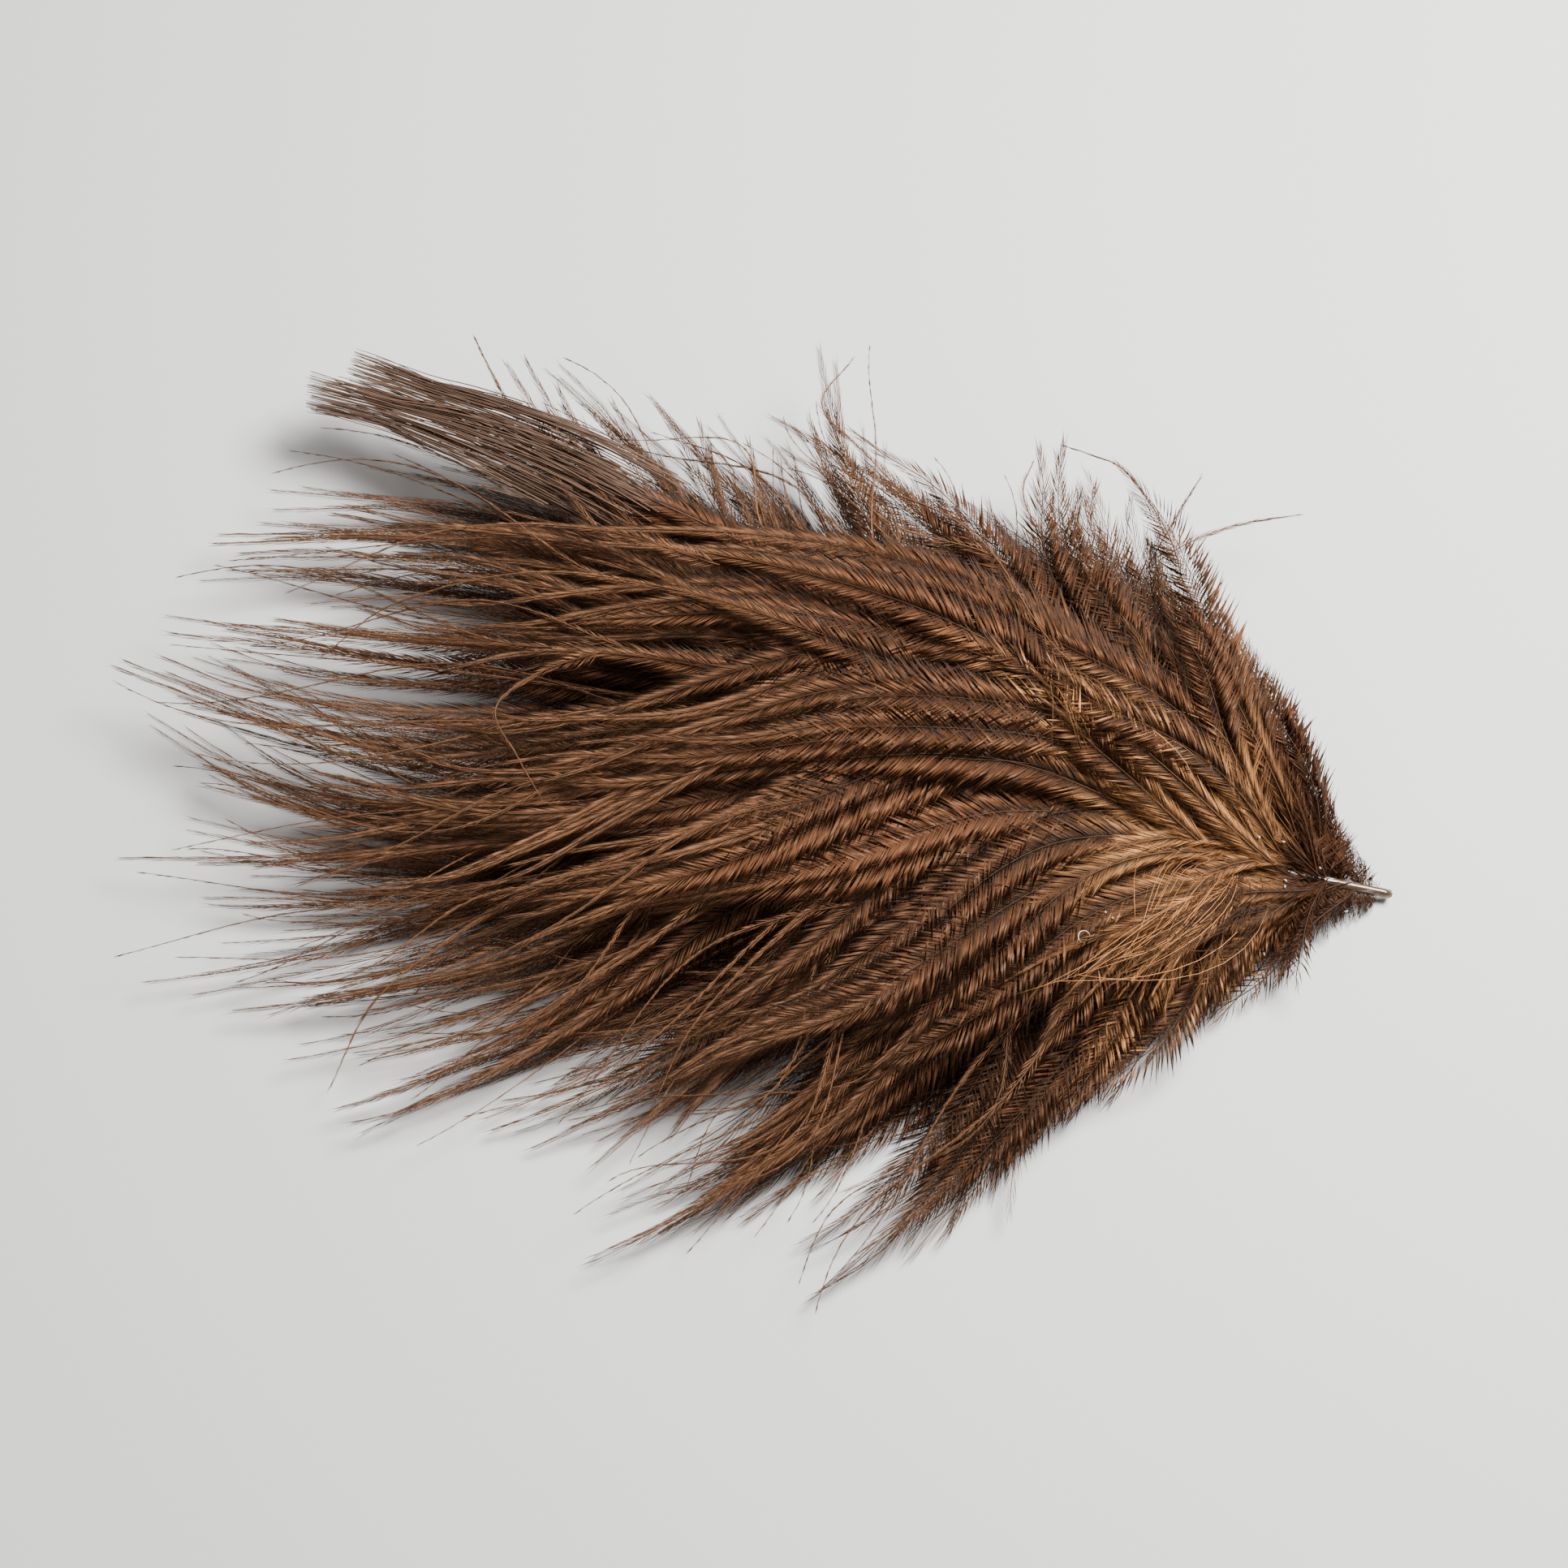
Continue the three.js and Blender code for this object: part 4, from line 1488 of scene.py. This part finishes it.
def quill_material():
    """Horn: dark amber with pale streaks, partly sheath and partly a painted highlight, and a clear
    gloss.
    """
    browns = bpy.context.scene.feather_colours
    material, net, surface = new_material("quill")
    place = net.node("ShaderNodeTexCoord").outputs["Object"]
    stretch = net.node("ShaderNodeMapping", {"Vector": place, "Scale": SHEATH_AND_HIGHLIGHT_STRETCH})
    streaks = net.noise(stretch.outputs["Vector"], *STREAK_NOISE)
    blotches = net.noise(place, *BLOTCH_NOISE)
    # Sheath and painted highlight: pale lengthwise streaks on the horn
    pale = net.times(net.ramp(streaks, *SHEATH_AND_HIGHLIGHT_FADE), net.ramp(blotches, *BLOTCH_FADE))
    net.feed(surface, {"Base Color": net.mix(pale, (*browns.quill, 1), (*browns.sheath, 1)),
                       "Roughness": net.raised(pale, *QUILL_ROUGHNESS),
                       "Normal": net.bump(streaks, QUILL_BUMP), **QUILL_FINISH})
    return material


# The point that the camera and both lights face
TARGET = Vector((3, 1.8, 5)) * MM
# The lights' places from there, and the sizes of their squares
KEY_PLACE, KEY_SIZE = (0.15, 0.08, 0.25), 0.15
FILL_PLACE, FILL_SIZE = (-0.45, -0.25, 0.4), 0.4
WORLD_STRENGTH = 0.135
SENSOR_WIDTH = 36
FLOOR_REACH = 3
FLOOR_ROUGHNESS = 0.9


class FEATHER_OT_stage(bpy.types.Operator):
    """Set the floor, the light and the camera"""

    bl_idname = "feather.stage"
    bl_label = "Stage"

    def execute(self, context):
        scene = context.scene
        studio = scene.feather_studio
        self.lay_floor(studio.floor)
        world = bpy.data.worlds.new("studio")
        world.use_nodes = True
        background = world.node_tree.nodes["Background"]
        background.inputs["Color"].default_value = (1, 1, 1, 1)
        background.inputs["Strength"].default_value = WORLD_STRENGTH
        scene.world = world
        self.add_light("key", KEY_PLACE, KEY_SIZE, studio.key_power)
        self.add_light("fill", FILL_PLACE, FILL_SIZE, studio.fill_power)
        lens = bpy.data.cameras.new("camera")
        camera = add_object("camera", lens)
        angle = studio.camera_elevation
        away = Vector((0, -math.cos(angle), math.sin(angle)))
        camera.location = TARGET + away * studio.camera_distance
        camera.rotation_euler = away.to_track_quat("Z", "Y").to_euler()
        lens.sensor_width = SENSOR_WIDTH
        lens.lens = lens.sensor_width * studio.camera_distance / studio.frame_width
        lens.clip_start = 0.01
        scene.camera = camera
        return {"FINISHED"}

    def lay_floor(self, colour):
        """Lays the plain floor under the feather."""
        material, net, surface = new_material("floor")
        net.feed(surface, {"Base Color": (*colour, 1), "Roughness": FLOOR_ROUGHNESS})
        mesh = bpy.data.meshes.new("floor")
        corners = [(x * FLOOR_REACH, y * FLOOR_REACH, 0)
                   for x, y in ((-1, -1), (1, -1), (1, 1), (-1, 1))]
        mesh.from_pydata(corners, [], [(0, 1, 2, 3)])
        mesh.materials.append(material)
        floor = add_object("floor", mesh)

    def add_light(self, name, place, size, watts):
        """Adds a square area light that faces the target."""
        light = bpy.data.lights.new(name, "AREA")
        light.size = size
        light.energy = watts
        lamp = add_object(name, light)
        lamp.location = TARGET + Vector(place)
        lamp.rotation_euler = Vector(place).to_track_quat("Z", "Y").to_euler()


class FEATHER_PT_panel(bpy.types.Panel):
    """Lists the feather's sizes, colours and building steps"""

    bl_idname = "FEATHER_PT_panel"
    bl_label = "Marabou Feather"
    bl_space_type = "VIEW_3D"
    bl_region_type = "UI"
    bl_category = "Feather"

    def draw(self, context):
        scene = context.scene
        for settings in (scene.feather_sizes, scene.feather_colours, scene.feather_studio):
            box = self.layout.box()
            for name in settings.__annotations__:
                box.prop(settings, name)
        for operator in OPERATORS:
            self.layout.operator(operator.bl_idname)


SETTINGS = (
    ("feather_sizes", FeatherSizes),
    ("feather_colours", FeatherColours),
    ("feather_studio", FeatherStudio),
)
OPERATORS = (
    FEATHER_OT_stage,
    FEATHER_OT_shaft,
    FEATHER_OT_under_down,
    FEATHER_OT_middle_down,
    FEATHER_OT_upper_down,
    FEATHER_OT_veil,
    FEATHER_OT_mantle,
    FEATHER_OT_wisps,
    FEATHER_OT_threads,
    FEATHER_OT_strays,
    FEATHER_OT_flakes,
)


def register():
    """Registers the settings, the operators and the panel."""
    for name, settings in SETTINGS:
        bpy.utils.register_class(settings)
        setattr(bpy.types.Scene, name, bpy.props.PointerProperty(type=settings))
    for kind in (*OPERATORS, FEATHER_PT_panel):
        bpy.utils.register_class(kind)


def unregister():
    """Takes back what register added."""
    for kind in reversed((*OPERATORS, FEATHER_PT_panel)):
        bpy.utils.unregister_class(kind)
    for name, settings in reversed(SETTINGS):
        delattr(bpy.types.Scene, name)
        bpy.utils.unregister_class(settings)


def main():
    """Registers the add-on and builds every piece in order."""
    register()
    for operator in OPERATORS:
        area, name = operator.bl_idname.split(".")
        getattr(getattr(bpy.ops, area), name)()


if __name__ == "__main__":
    main()
